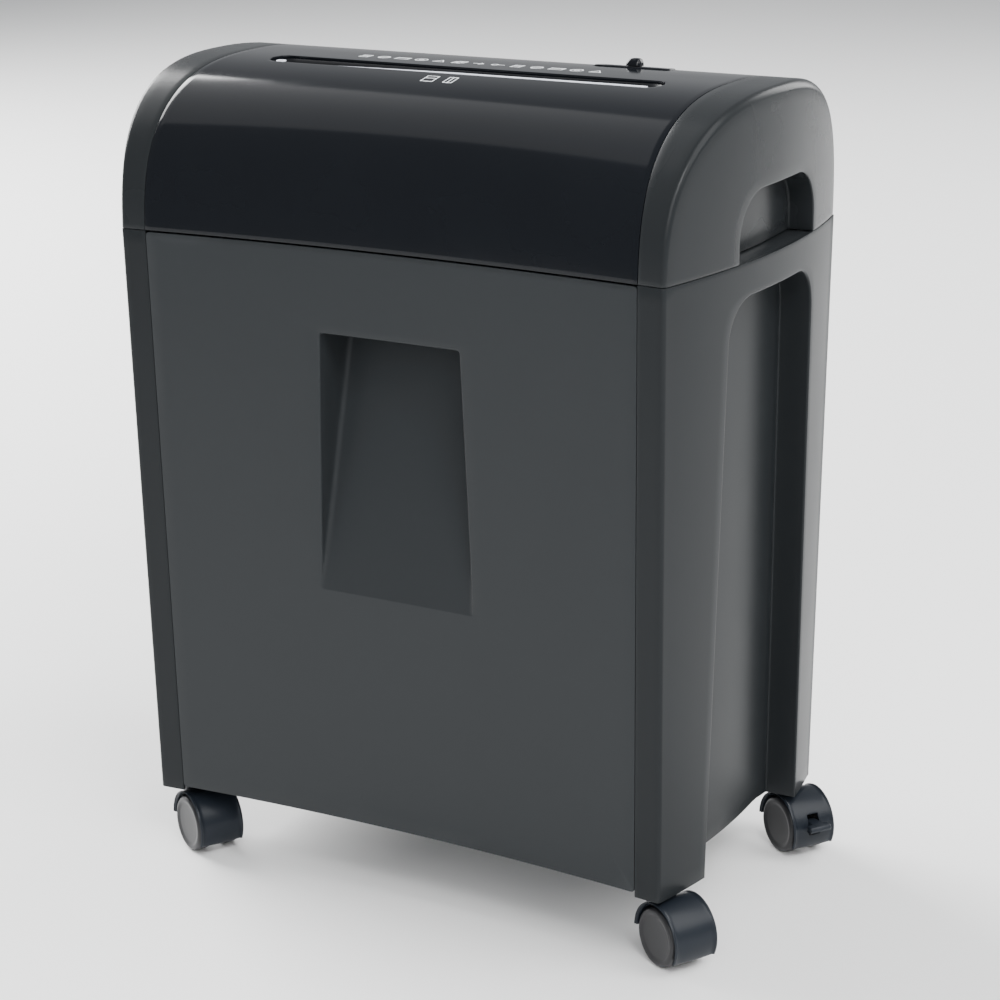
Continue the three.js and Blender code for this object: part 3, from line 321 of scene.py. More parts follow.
def makeWearGroup():
    group = bpy.data.node_groups.new("edgeWear", "ShaderNodeTree")
    socketIn(group, "Color", "NodeSocketColor", (0.05, 0.05, 0.05, 1))
    socketIn(group, "Worn Color", "NodeSocketColor", (0.2, 0.2, 0.2, 1))
    socketIn(group, "Amount", "NodeSocketFloat", 0.5)
    group.interface.new_socket("Color", in_out="OUTPUT", socket_type="NodeSocketColor")
    group.interface.new_socket("Mask", in_out="OUTPUT", socket_type="NodeSocketFloat")
    nodes = group.nodes
    given, out = nodes.new("NodeGroupInput"), nodes.new("NodeGroupOutput")
    shape = nodes.new("ShaderNodeNewGeometry")
    edge = nodes.new("ShaderNodeMapRange")
    edge.inputs["From Min"].default_value = 0.52
    edge.inputs["From Max"].default_value = 0.62
    where = nodes.new("ShaderNodeTexCoord")
    patch = nodes.new("ShaderNodeTexNoise")
    patch.inputs["Scale"].default_value = 55
    patch.inputs["Detail"].default_value = 5
    link(group, shape.outputs["Pointiness"], edge.inputs["Value"])
    link(group, where.outputs["Object"], patch.inputs["Vector"])
    worn = nodes.new("ShaderNodeMath")
    worn.operation = "MULTIPLY"
    link(group, edge.outputs[0], worn.inputs[0])
    link(group, patch.outputs["Fac"], worn.inputs[1])
    share = nodes.new("ShaderNodeMath")
    share.operation = "MULTIPLY"
    share.use_clamp = True
    link(group, worn.outputs[0], share.inputs[0])
    link(group, given.outputs["Amount"], share.inputs[1])
    blendNode = nodes.new("ShaderNodeMix")
    blendNode.data_type = "RGBA"
    link(group, share.outputs[0], blendNode.inputs["Factor"])
    link(group, given.outputs["Color"], blendNode.inputs["A"])
    link(group, given.outputs["Worn Color"], blendNode.inputs["B"])
    link(group, blendNode.outputs["Result"], out.inputs["Color"])
    link(group, share.outputs[0], out.inputs["Mask"])
    return group


grainGroup = makeGrainGroup()
wearGroup = makeWearGroup()


def makeMaterial(name, look):
    made = bpy.data.materials.new(name)
    made.use_nodes = True
    tree = made.node_tree
    shader = tree.nodes["Principled BSDF"]
    tone = (*look["tone"], 1)
    grain = tree.nodes.new("ShaderNodeGroup")
    grain.node_tree = grainGroup
    grain.inputs["Scale"].default_value = look.get("grain", 900)
    grain.inputs["Tone"].default_value = tone
    grain.inputs["Tone Spread"].default_value = look.get("toneSpread", 0.1)
    grain.inputs["Roughness"].default_value = look["roughness"]
    grain.inputs["Roughness Spread"].default_value = look.get("roughnessSpread", 0.08)
    wear = tree.nodes.new("ShaderNodeGroup")
    wear.node_tree = wearGroup
    wear.inputs["Worn Color"].default_value = (*[min(c * 2.2 + 0.02, 1) for c in look["tone"]], 1)
    wear.inputs["Amount"].default_value = look.get("wear", 0.3)
    bump = tree.nodes.new("ShaderNodeBump")
    bump.inputs["Strength"].default_value = look.get("bump", 0.08)
    bump.inputs["Distance"].default_value = look.get("bumpDepth", 0.0002)
    link(tree, grain.outputs["Color"], wear.inputs["Color"])
    link(tree, wear.outputs["Color"], shader.inputs["Base Color"])
    link(tree, grain.outputs["Roughness"], shader.inputs["Roughness"])
    link(tree, grain.outputs["Height"], bump.inputs["Height"])
    link(tree, bump.outputs["Normal"], shader.inputs["Normal"])
    shader.inputs["Metallic"].default_value = look.get("metallic", 0.0)
    shader.inputs["Specular IOR Level"].default_value = look.get("specular", 0.5)
    shader.inputs["Coat Weight"].default_value = look.get("coat", 0.0)
    shader.inputs["Coat Roughness"].default_value = look.get("coatRoughness", 0.05)
    return made


looks = {
    "satinCharcoal": {"tone": (0.021, 0.0235, 0.0255), "roughness": 0.36, "bump": 0.09, "wear": 0.18,
                      "specular": 0.14},
    "frameSatin": {"tone": (0.014, 0.0158, 0.0172), "roughness": 0.34, "bump": 0.09, "wear": 0.18,
                   "specular": 0.1},
    "capSatin": {"tone": (0.015, 0.0168, 0.0182), "roughness": 0.27, "bump": 0.08, "wear": 0.18,
                 "specular": 0.12},
    "glossBlack": {"tone": (0.0045, 0.0055, 0.0075), "roughness": 0.12, "roughnessSpread": 0.05,
                   "bump": 0.006, "wear": 0.0, "grain": 300, "specular": 0.2, "toneSpread": 0.3},
    "innerPlastic": {"tone": (0.012, 0.013, 0.015), "roughness": 0.5, "bump": 0.15, "wear": 0.15},
    "linerPlastic": {"tone": (0.004, 0.0045, 0.006), "roughness": 0.4, "bump": 0.1, "wear": 0.0,
                     "specular": 0.2},
    "hoodPlastic": {"tone": (0.010, 0.013, 0.018), "roughness": 0.33, "bump": 0.16, "wear": 0.35,
                    "grain": 700, "toneSpread": 0.35, "roughnessSpread": 0.2, "specular": 0.22},
    "wheelPlastic": {"tone": (0.017, 0.017, 0.019), "roughness": 0.34, "bump": 0.10, "wear": 0.45,
                     "toneSpread": 0.25, "specular": 0.3},
    "cutterSteel": {"tone": (0.46, 0.47, 0.48), "roughness": 0.32, "metallic": 1.0, "grain": 1400,
                    "bump": 0.06, "roughnessSpread": 0.2},
    "plateSteel": {"tone": (0.34, 0.35, 0.36), "roughness": 0.45, "metallic": 1.0, "grain": 500,
                   "toneSpread": 0.4, "roughnessSpread": 0.25},
    "bearingBronze": {"tone": (0.42, 0.26, 0.11), "roughness": 0.4, "metallic": 1.0, "bump": 0.1},
    "gearNylon": {"tone": (0.66, 0.62, 0.52), "roughness": 0.5, "toneSpread": 0.15, "specular": 0.4},
    "boardGreen": {"tone": (0.016, 0.115, 0.05), "roughness": 0.35, "toneSpread": 0.3, "coat": 0.4},
    "signalPlastic": {"tone": (0.55, 0.56, 0.58), "roughness": 0.4},
    "bushRubber": {"tone": (0.010, 0.010, 0.010), "roughness": 0.75, "bump": 0.3, "bumpDepth": 0.0004},
    "printWhite": {"tone": (0.86, 0.88, 0.90), "roughness": 0.35, "wear": 0.0, "bump": 0.02},
    # Near-white gloss, used for the painted highlight bead along the trough's front edge and for the ring at the
    # trough's left end.
    "glossWhite": {"tone": (0.85, 0.87, 0.95), "roughness": 0.12, "wear": 0.0, "bump": 0.0},
}
materials = {name: makeMaterial(name, look) for name, look in looks.items()}
print("materials made")

slotLooks = {
    "satin_charcoal": "satinCharcoal", "gloss_black": "glossBlack", "inner_plastic": "innerPlastic",
    "hood_plastic": "hoodPlastic", "wheel_plastic": "wheelPlastic", "cutter_steel": "cutterSteel",
    "plate_steel": "plateSteel", "bearing_bronze": "bearingBronze", "gear_nylon": "gearNylon",
    "board_green": "boardGreen", "signal_plastic": "signalPlastic", "bush_rubber": "bushRubber",
}
for entry in frame["record"]["subparts"]:
    node = frame["nodes"][entry["node"]]
    finish = materials[slotLooks[entry["material_slot"]]]
    for place in node.material_slots:
        place.material = finish
    if not node.material_slots:
        node.data.materials.append(finish)

# Pieces that repeat on an upright grid.
repeatInputs = {"Geometry": "NodeSocketGeometry", "Columns": "NodeSocketInt", "Rows": "NodeSocketInt",
                "Width": "NodeSocketFloat", "Height": "NodeSocketFloat", "Place": "NodeSocketVector"}


def makeRepeatTree(name, finish):
    tree = bpy.data.node_groups.new(name, "GeometryNodeTree")
    for label, kind in repeatInputs.items():
        tree.interface.new_socket(label, in_out="INPUT", socket_type=kind)
    tree.interface.new_socket("Geometry", in_out="OUTPUT", socket_type="NodeSocketGeometry")
    start = tree.nodes.new("NodeGroupInput")
    end = tree.nodes.new("NodeGroupOutput")
    spots = tree.nodes.new("GeometryNodeMeshGrid")
    upright = tree.nodes.new("GeometryNodeTransform")
    upright.inputs["Rotation"].default_value = (math.pi / 2, 0, 0)
    copies = tree.nodes.new("GeometryNodeInstanceOnPoints")
    real = tree.nodes.new("GeometryNodeRealizeInstances")
    paint = tree.nodes.new("GeometryNodeSetMaterial")
    paint.inputs["Material"].default_value = finish
    link(tree, start.outputs["Columns"], spots.inputs["Vertices X"])
    link(tree, start.outputs["Rows"], spots.inputs["Vertices Y"])
    link(tree, start.outputs["Width"], spots.inputs["Size X"])
    link(tree, start.outputs["Height"], spots.inputs["Size Y"])
    link(tree, spots.outputs["Mesh"], upright.inputs["Geometry"])
    link(tree, start.outputs["Place"], upright.inputs["Translation"])
    link(tree, upright.outputs["Geometry"], copies.inputs["Points"])
    link(tree, start.outputs["Geometry"], copies.inputs["Instance"])
    link(tree, copies.outputs["Instances"], real.inputs["Geometry"])
    link(tree, real.outputs["Geometry"], paint.inputs["Geometry"])
    link(tree, paint.outputs["Geometry"], end.inputs["Geometry"])
    return tree


def repeatPiece(name, bm, finish, sizes, angle=38):
    closeUp(bm)
    mesh = bpy.data.meshes.new(name)
    bm.to_mesh(mesh)
    bm.free()
    mesh.shade_smooth()
    mesh.set_sharp_from_angle(angle=math.radians(angle))
    made = newObject(name, mesh)
    tree = makeRepeatTree(name + "Grid", finish)
    repeat = made.modifiers.new("repeat", "NODES")
    repeat.node_group = tree
    for item in tree.interface.items_tree:
        if item.in_out == "INPUT" and item.name in sizes:
            repeat[item.identifier] = sizes[item.name]
    return bake(made)


quarterTurn = [math.radians(a) for a in (0, 22.5, 45, 67.5, 90)]  # steps round a rim or fillet

# Bin front, with its wedge-shaped finger recess.
pull = {"top": 48.5, "height": 150.0, "half": 44.5, "depth": 32.0, "spread": 0.12, "rim": 1.3, "fillet": 3.0,
        "corner": 1.6}


def loopOf(x0, x1, z0, z1, radius, across, up, turn=4):
    corners = [(x1 - radius, z0 + radius, -90), (x1 - radius, z1 - radius, 0),
               (x0 + radius, z1 - radius, 90), (x0 + radius, z0 + radius, 180)]
    starts = [(x0 + radius, z0), (x1, z0 + radius), (x1 - radius, z1), (x0, z1 - radius)]
    ends = [(x1 - radius, z0), (x1, z1 - radius), (x0 + radius, z1), (x0, z0 + radius)]
    points = []
    for (cx, cz, angle), start, end, steps in zip(corners, starts, ends, (across, up, across, up)):
        points += [(mix(start[0], end[0], i / steps), mix(start[1], end[1], i / steps)) for i in range(steps)]
        points += arc(cx, cz, radius, angle, angle + 90, turn)[:-1]
    return points


def makeBinFront():
    bottom = form["seam"] - pull["top"] - pull["height"]
    top = form["seam"] - pull["top"]
    half = binBox[1].x

    def depthAt(z):
        return pull["depth"] * clamp((z - bottom) / pull["height"])

    def rimDepth(z):
        return min(pull["rim"], depthAt(z) / 2)

    def wallDepth(z):
        return max(depthAt(z) - pull["fillet"], depthAt(z) / 2)

    def pullLoop(grow):
        corner = max(pull["corner"] + grow, 0.4)
        loop = loopOf(-pull["half"] - grow, pull["half"] + grow, bottom - grow, top + grow, corner, 16, 22)
        return [(x * (1 + pull["spread"] * (top - z) / pull["height"]), z) for x, z in loop]

    def surface(p, depth):
        return taper(Vector((p[0], frontY(p[0]) + depth, p[1])))

    low, high = binBox[0].z, binBox[1].z
    outer = loopOf(-half, half, low, high, 2.0, 16, 22)
    rimLoop = pullLoop(pull["rim"])
    rings = []
    for k in range(15):
        share = k / 14
        rings.append([surface((mix(a[0], b[0], share), mix(a[1], b[1], share)), 0)
                      for a, b in zip(outer, rimLoop)])
    for a in quarterTurn[1:]:
        loop = pullLoop(pull["rim"] * (1 - math.sin(a)))
        rings.append([surface(p, rimDepth(p[1]) * (1 - math.cos(a))) for p in loop])
    for share in (0.35, 0.7):
        loop = pullLoop(-0.25 * share)
        rings.append([surface(p, mix(rimDepth(p[1]), wallDepth(p[1]), share)) for p in loop])
    for a in quarterTurn:
        loop = pullLoop(-0.25 - pull["fillet"] * (1 - math.cos(a)))
        rings.append([surface(p, wallDepth(p[1]) + min(pull["fillet"], depthAt(p[1]) / 2) * math.sin(a))
                      for p in loop])
    floorLoop = pullLoop(-0.25 - pull["fillet"])
    core = loopOf(-6, 6, bottom + 36, top - 36, 2.0, 16, 22)
    for k in range(1, 10):
        share = k / 9
        loop = [(mix(a[0], b[0], share), mix(a[1], b[1], share)) for a, b in zip(floorLoop, core)]
        rings.append([surface(p, depthAt(p[1])) for p in loop])
    bm = bmesh.new()
    weave(bm, rings, closed=True)
    capOff(bm, rings[-1])
    return shell("binFrontPanel", bm, (0, 0, 220), wall=2.4, edge=0.9, steps=3)


fit(makeBinFront(), "waste_bin", "satin_charcoal", materials["satinCharcoal"], "bin_front")
print("bin front made")

# Side frames with their leg cut-outs, top ledges and leg soles.
leg = {"front": -52.0, "rear": 58.0, "flareFront": 14.0, "flareRear": 8.0, "radius": 24.0, "top": 18.5,
       "depth": 19.0, "rim": 1.3, "fillet": 1.2, "foot": 4.0}
legSteps = {"up": 30, "arch": 10, "top": 14}


def legPath(grow, low):
    top = form["seam"] - leg["top"] + grow
    radius = leg["radius"] + grow
    front, rear = leg["front"] - grow, leg["rear"] + grow
    start = form["legEnd"] - 10
    spring = top - radius
    left, right = [], []
    for z in spread(low, spring, legSteps["up"]):
        lean = (spring - z) / (spring - start)
        left.append((front - leg["flareFront"] * lean, z))
        right.append((rear + leg["flareRear"] * lean, z))
    left += arc(front + radius, spring, radius, 180, 90, legSteps["arch"])[1:]
    right += arc(rear - radius, spring, radius, 0, 90, legSteps["arch"])[1:]
    middle = [(y, top) for y in spread(left[-1][0], right[-1][0], legSteps["top"])][1:-1]
    return left + middle + right[::-1]


def legOuterPath():
    top, front, rear = form["seam"], -form["back"] + form["frontCorner"], form["back"] - form["rearCorner"]
    inner = legPath(leg["rim"], form["legEnd"])
    up, arch, over = legSteps["up"], legSteps["arch"], legSteps["top"]
    spring = inner[up][1]
    halfArch = arch // 2
    left = [(front, inner[i][1]) for i in range(up + 1)]
    left += [(front, z) for z in spread(spring, top, halfArch)][1:]
    left += [(y, top) for y in spread(front, inner[up + arch][0], arch - halfArch)][1:]
    right = [(rear, inner[i][1]) for i in range(up + 1)]
    right += [(rear, z) for z in spread(spring, top, halfArch)][1:]
    right += [(y, top) for y in spread(rear, inner[up + arch + over][0], arch - halfArch)][1:]
    middle = [(y, top) for y in spread(left[-1][0], right[-1][0], over)][1:-1]
    return left + middle + right[::-1]


def makeSideFrame(name, side):
    bm = bmesh.new()

    def out(p, depth=0.0):
        made = taper(Vector((sideX(p[0]) - depth, p[0], p[1])))
        return Vector((made.x * side, made.y, made.z))

    outer = legOuterPath()
    rim = legPath(leg["rim"], form["legEnd"])
    rings = []
    for k in range(9):
        share = k / 8
        rings.append([out((mix(a[0], b[0], share), mix(a[1], b[1], share))) for a, b in zip(outer, rim)])
    for a in quarterTurn[1:]:
        path = legPath(leg["rim"] * (1 - math.sin(a)), form["legEnd"])
        rings.append([out(p, leg["rim"] * (1 - math.cos(a))) for p in path])
    deep = leg["depth"] - leg["fillet"]
    for share in (0.33, 0.66, 1.0):
        path = legPath(-0.4 * share, form["legEnd"])
        rings.append([out(p, mix(leg["rim"], deep, share)) for p in path])
    for a in quarterTurn[1:]:
        path = legPath(-0.4 - leg["fillet"] * (1 - math.cos(a)), form["legEnd"])
        rings.append([out(p, deep + leg["fillet"] * math.sin(a)) for p in path])
    weave(bm, rings)
    # the recess floor, in rows from the front edge to the rear one
    edgePath = legPath(-0.4 - leg["fillet"], form["legEnd"])
    last = len(edgePath) - 1
    rows = []
    for i in range(legSteps["up"] + legSteps["arch"] + 1):
        a, b = edgePath[i], edgePath[last - i]
        row = []
        for k in range(legSteps["top"] + 1):
            share = k / legSteps["top"]
            lift = leg["foot"] * clamp(6 * min(share, 1 - share)) * clamp(1 - i / 5)
            row.append(out((mix(a[0], b[0], share), mix(a[1], b[1], share) + lift), leg["depth"]))
        rows.append(row)
    weave(bm, rows)
    # pillar face and front corner, then rear corner and rear face
    levels = [p[1] for p in outer[:legSteps["up"] + 1 + legSteps["arch"] // 2]]
    corner = form["frontCorner"]
    face = [Vector((x, frontY(x), 0)) for x in spread(form["panelHalf"], sideX(-form["back"]) - corner, 6)]
    joinY = -form["back"] + corner
    turnCentre = Vector((sideX(joinY) - corner, frontY(sideX(joinY) - corner) + corner, 0))
    bend = [turnCentre + Vector((math.cos(a), math.sin(a), 0)) * corner
            for a in (math.radians(t) for t in spread(-90, 0, 6))]
    line = face[:-1] + bend[:-1] + [Vector((sideX(joinY), joinY, 0))]
    weave(bm, [[turned(taper(Vector((p.x, p.y, z))), side) for p in line] for z in levels])
    corner = form["rearCorner"]
    joinY = form["back"] - corner
    bend = [Vector((sideX(joinY) - corner, joinY, 0)) + Vector((math.cos(a), math.sin(a), 0)) * corner
            for a in (math.radians(t) for t in spread(0, 90, 10))]
    face = [Vector((x, form["back"], 0)) for x in spread(bend[-1].x, boxOf("side_frame_right")[0].x + 3, 4)]
    line = [Vector((sideX(joinY), joinY, 0))] + bend[1:] + face[1:]
    weave(bm, [[turned(taper(Vector((p.x, p.y, z))), side) for p in line] for z in levels])
    return shell(name, bm, (100 * side, 0, 220), wall=2.2, edge=0.7, steps=2)


def turned(p, side):
    return Vector((p.x * side, p.y, p.z))


ledge = {"thick": 2.6, "drop": 0.35, "inset": 1.1}


def makeLedge(name, side):
    inner = sideBox[0].x + 0.6
    ys = spread(-form["back"] + form["frontCorner"] + 1, form["back"] - form["rearCorner"], 30)
    outline = [(sideX(y) - ledge["inset"], y) for y in ys]
    outline += [(outline[-1][0] - 6, form["back"] - 4), (inner, form["back"] - 4)]
    outline += [(inner, frontY(inner) + 4.0)]
    bm = bmesh.new()
    top = form["seam"] - ledge["drop"]
    prism(bm, outline, top - ledge["thick"], top, lambda p: turned(p, side))
    return closedBody(name, bm, edge=0.4)


def makeStemSocket(name, stemNode):
    low, high = boxOf(stemNode)
    x, y, radius = (low.x + high.x) / 2, (low.y + high.y) / 2, (high.x - low.x) / 2
    floor = form["legEnd"]
    rings = []
    for r, z in ((radius + 3.0, floor + 0.9), (radius + 2.6, floor + 0.2), (radius + 2.2, floor),
                 (radius + 0.8, floor), (radius + 0.4, floor + 0.4), (radius + 0.4, floor + 20),
                 (radius + 3.0, floor + 20)):
        rings.append([Vector((x + r * math.cos(a), y + r * math.sin(a), z))
                      for a in (2 * math.pi * k / 36 for k in range(36))])
    rings.append(rings[0])
    bm = bmesh.new()
    weave(bm, rings, closed=True)
    return closedBody(name, bm, edge=0)


def legPlan(front):
    if front:
        ys = spread(-form["back"] + form["frontCorner"], leg["front"] - leg["flareFront"] - 1.4, 10)
    else:
        ys = spread(leg["rear"] + leg["flareRear"] + 1.4, form["back"] - form["rearCorner"], 10)
    inset = 2.6
    line = [(sideX(y) - inset, y) for y in ys]
    if front:
        line = [(form["panelHalf"] + 2.6, frontY(form["panelHalf"]) + inset),
                (sideX(ys[0]) - inset - 0.8, frontY(sideX(ys[0])) + inset)] + line[1:]
        line += [(sideX(ys[-1]) - leg["depth"] + 1, ys[-1]), (form["panelHalf"] + 2.6, ys[-1])]
    else:
        line += [(line[-1][0] - 4, form["back"] - inset - 1.2),
                 (form["panelHalf"] + 2.0, form["back"] - inset)]
        line += [(form["panelHalf"] + 2.0, ys[0]), (sideX(ys[0]) - leg["depth"] + 1, ys[0])]
    return [taper(Vector((x, y, form["legEnd"]))) for x, y in line]


def makeSole(name, front, side):
    bm = bmesh.new()
    low = form["legEnd"] + 0.7
    prism(bm, [(p.x, p.y) for p in legPlan(front)], low, low + 2.4, lambda p: turned(p, side))
    return closedBody(name, bm, edge=0.5)


for label, side in (("right", 1), ("left", -1)):
    made = makeSideFrame("sideFrameSkin_" + label, side)
    look = ("housing", "satin_charcoal", materials["frameSatin"])
    fit(made, *look, "side_frame_" + label)
    fit(makeLedge("sideFrameLedge_" + label, side), *look)
    for end in ("front", "rear"):
        corner = end + "_" + label
        fit(makeSole("legSole_" + corner, end == "front", side), *look)
        fit(makeStemSocket("stemSocket_" + corner, "caster_stem_" + corner), *look)
print("side frames made")

# Rear panel screws.
screw = {"head": 3.3, "crown": 2.5, "height": 1.3, "cross": 1.75, "arm": 0.55, "recess": 0.8, "steps": 32,
         "across": 284.0, "up": 306.0, "columns": 2, "rows": 4}


def makeScrews():
    def ring(radius, y, cross=False):
        line = []
        for k in range(screw["steps"]):
            a = 2 * math.pi * k / screw["steps"]
            r = radius
            if cross:
                side = min(abs(math.cos(a)), abs(math.sin(a)))
                r = screw["cross"] if side < 0.3 else screw["arm"] * 1.2
            line.append(Vector((r * math.cos(a), y, r * math.sin(a))))
        return line

    top = screw["height"]
    rings = [ring(screw["head"], -0.4), ring(screw["head"], top * 0.35),
             ring(screw["head"] * 0.93, top * 0.7), ring(screw["crown"], top),
             ring(1, top, True), ring(1, top - screw["recess"], True)]
    bm = bmesh.new()
    weave(bm, [line + line[:1] for line in rings])
    capOff(bm, rings[0][::-1])
    capOff(bm, rings[-1])
    low, high = boxOf("rear_panel")
    made = repeatPiece("rearPanelScrews", bm, materials["plateSteel"], {
        "Columns": screw["columns"], "Rows": screw["rows"], "Width": screw["across"] * mm,
        "Height": screw["up"] * mm, "Place": (0, high.y * mm, (low.z + high.z) / 2 * mm)})
    for v in made.data.vertices:
        v.co = taper(v.co / mm) * mm
    return made


fit(makeScrews(), "housing", "plate_steel", materials["plateSteel"])
print("rear panel screws made")

# End caps with their grip pockets.
grip = {"front": -43.0, "rear": 56.0, "height": 37.0, "radius": 26.0, "depth": 15.0, "rim": 0.9,
        "fillet": 1.6}
gripSteps = {"up": 6, "arch": 14, "top": 16}


def gripPath(grow):
    base = form["seam"] + form["gap"]
    top = form["seam"] + grip["height"] + grow
    radius = grip["radius"] + grow
    front, rear = grip["front"] - grow, grip["rear"] + grow
    left = [(front, z) for z in spread(base, top - radius, gripSteps["up"])]
    left += arc(front + radius, top - radius, radius, 180, 90, gripSteps["arch"])[1:]
    right = [(rear, z) for z in spread(base, top - radius, gripSteps["up"])]
    right += arc(rear - radius, top - radius, radius, 0, 90, gripSteps["arch"])[1:]
    middle = [(y, top) for y in spread(left[-1][0], right[-1][0], gripSteps["top"])][1:-1]
    return left + middle + right[::-1]


def sharesAlong(path):
    steps = [math.dist(a, b) for a, b in zip(path, path[1:])]
    total = sum(steps)
    shares, run = [0.0], 0.0
    for step in steps:
        run += step
        shares.append(run / total)
    return shares


def capEdge(share):
    crestCorner = 4.5
    if share < 0.5:
        return mix(form["frontCorner"], crestCorner, share * 2)
    return mix(crestCorner, form["rearCorner"], share * 2 - 1)


def makeEndCap(name, side):
    bm = bmesh.new()
    inner = form["panelHalf"] + 0.2
    rimPath = gripPath(grip["rim"])
    gripShares = sharesAlong(rimPath)
    # the pocket's corners meet the crest's line where each is as far along as the other
    shares = [mix(s, 0.5 + 0.5 * math.sin(math.pi * (s - 0.5)), 0.25) for s in gripShares]

    def onCrest(share, x, inset):
        y, z = crestAt(share)
        base = form["seam"] + form["gap"]
        ny, nz = crestNormal(share)
        y, z = y - ny * inset, max(z - nz * inset, base)
        return hollow(Vector((x, y, z)))

    rings = []
    for k in range(5):
        ring = []
        for share in shares:
            y, _ = crestAt(share)
            outer = sideX(clamp(y, -form["back"], form["back"])) - capEdge(share)
            ring.append(onCrest(share, mix(inner, outer, k / 4), 0))
        rings.append(ring)
    for turn in spread(0, 90, 8)[1:]:
        a = math.radians(turn)
        ring = []
        for share in shares:
            radius = capEdge(share)
            y, z = crestAt(share)
            ny, nz = crestNormal(share)
            insetY = y - ny * radius * (1 - math.cos(a))
            x = sideX(insetY) - radius * (1 - math.sin(a))
            ring.append(onCrest(share, x, radius * (1 - math.cos(a))))
        rings.append(ring)
    flat = [(p.y, p.z) for p in rings[-1]]
    for k in range(1, 9):
        share = k / 8
        rings.append([Vector((sideX(mix(a[0], b[0], share)), mix(a[0], b[0], share), mix(a[1], b[1], share)))
                      for a, b in zip(flat, rimPath)])
    for a in quarterTurn[1:]:
        path = gripPath(grip["rim"] * (1 - math.sin(a)))
        rings.append([Vector((sideX(p[0]) - grip["rim"] * (1 - math.cos(a)), p[0], p[1])) for p in path])
    deep = grip["depth"] - grip["fillet"]
    for share in (0.5, 1.0):
        path = gripPath(-0.3 * share)
        rings.append([Vector((sideX(p[0]) - mix(grip["rim"], deep, share), p[0], p[1])) for p in path])
    for a in quarterTurn[1:]:
        path = gripPath(-0.3 - grip["fillet"] * (1 - math.cos(a)))
        rings.append([Vector((sideX(p[0]) - deep - grip["fillet"] * math.sin(a), p[0], p[1])) for p in path])
    weave(bm, [[turned(p, side) for p in ring] for ring in rings])
    path = gripPath(-0.3 - grip["fillet"])
    last = len(path) - 1
    rows = []
    for i in range(gripSteps["up"] + gripSteps["arch"] + 1):
        a, b = path[i], path[last - i]
        row = []
        for k in range(gripSteps["top"] + 1):
            y, z = mix(a[0], b[0], k / gripSteps["top"]), mix(a[1], b[1], k / gripSteps["top"])
            row.append(turned(Vector((sideX(y) - grip["depth"], y, z)), side))
        rows.append(row)
    weave(bm, rows)
    return shell(name, bm, (100 * side, 0, 380), wall=2.2, edge=0.7, steps=2)


def crestNormal(share):
    a, b = crestAt(clamp(share - 0.004)), crestAt(clamp(share + 0.004))
    length = math.dist(a, b)
    return -(b[1] - a[1]) / length, (b[0] - a[0]) / length


for label, side in (("right", 1), ("left", -1)):
    made = makeEndCap("endCapSkin_" + label, side)
    fit(made, "housing", "satin_charcoal", materials["capSatin"], "end_cap_" + label)
print("end caps made")

# Top cover, with the trough, the switch window, the vents and the cord hole.
linerBox = boxOf("throat_liner")
bezelBox = boxOf("slider_bezel")
throat = {"y": (linerBox[0].y + linerBox[1].y) / 2, "length": 250.0, "mouth": 17.0, "tip": 6.0,
          "slotLength": 224.0, "slotWidth": 6.0}
inletBox = boxOf("cord_inlet")
vent = {"x": 52.0, "half": 32.0, "low": 406.0, "high": 436.0, "ribs": 9, "rib": 2.6}


def mouthWidth(x, grow=0.0):
    reach = throat["length"] / 2 + grow
    tip = clamp((reach - abs(x)) / throat["tip"])
    return (throat["mouth"] / 2 + grow) * math.sin(tip * math.pi / 2) ** 0.8


def coverPoint(x, share, depth=0.0):
    y, z = crestAt(share)
    ny, nz = crestNormal(share)
    return hollow(Vector((x, y - ny * depth, z - nz * depth)))


def rearShare(z):
    rear = crestLine[1] > 30
    return float(np.interp(-z, -crestLine[2][rear], crestLine[0][rear]))


def throatOutline(u, v, grow=0.0):
    reach = throat["length"] / 2 + grow
    wide = throat["mouth"] / 2 + grow
    shoulder = 0.94 * reach
    if abs(v) > 0.999:
        x = u * shoulder
        return x, throat["y"] + math.copysign(mouthWidth(x, grow), v)
    across = v * mouthWidth(shoulder, grow)
    tip = math.asin(clamp(abs(across) / wide) ** 1.25) * 2 / math.pi
    return math.copysign(reach - throat["tip"] * tip, u), throat["y"] + across


def squareLoop(across, up):
    low = [(u, -1.0) for u in spread(-1, 1, across)[:-1]]
    right = [(1.0, v) for v in spread(-1, 1, up)[:-1]]
    high = [(u, 1.0) for u in spread(1, -1, across)[:-1]]
    left = [(-1.0, v) for v in spread(1, -1, up)[:-1]]
    return low + right + high + left


def patch(bm, us, vs, block, point, outline, rings=3):
    a, b, c, d = block
    edge = [(us[i], vs[c]) for i in range(a, b)] + [(us[b], vs[j]) for j in range(c, d)]
    edge += [(us[i], vs[d]) for i in range(b, a, -1)] + [(us[a], vs[j]) for j in range(d, c, -1)]
    hole = [outline(2 * (u - us[a]) / (us[b] - us[a]) - 1, 2 * (v - vs[c]) / (vs[d] - vs[c]) - 1)
            for u, v in edge]
    loops = [[point(mix(p[0], q[0], k / rings), mix(p[1], q[1], k / rings)) for p, q in zip(edge, hole)]
             for k in range(rings + 1)]
    weave(bm, loops, closed=True)


def steppedLine(stops, step):
    line = [stops[0]]
    for a, b in zip(stops, stops[1:]):
        line += spread(a, b, max(1, math.ceil(abs(b - a) / step)))[1:]
    return line


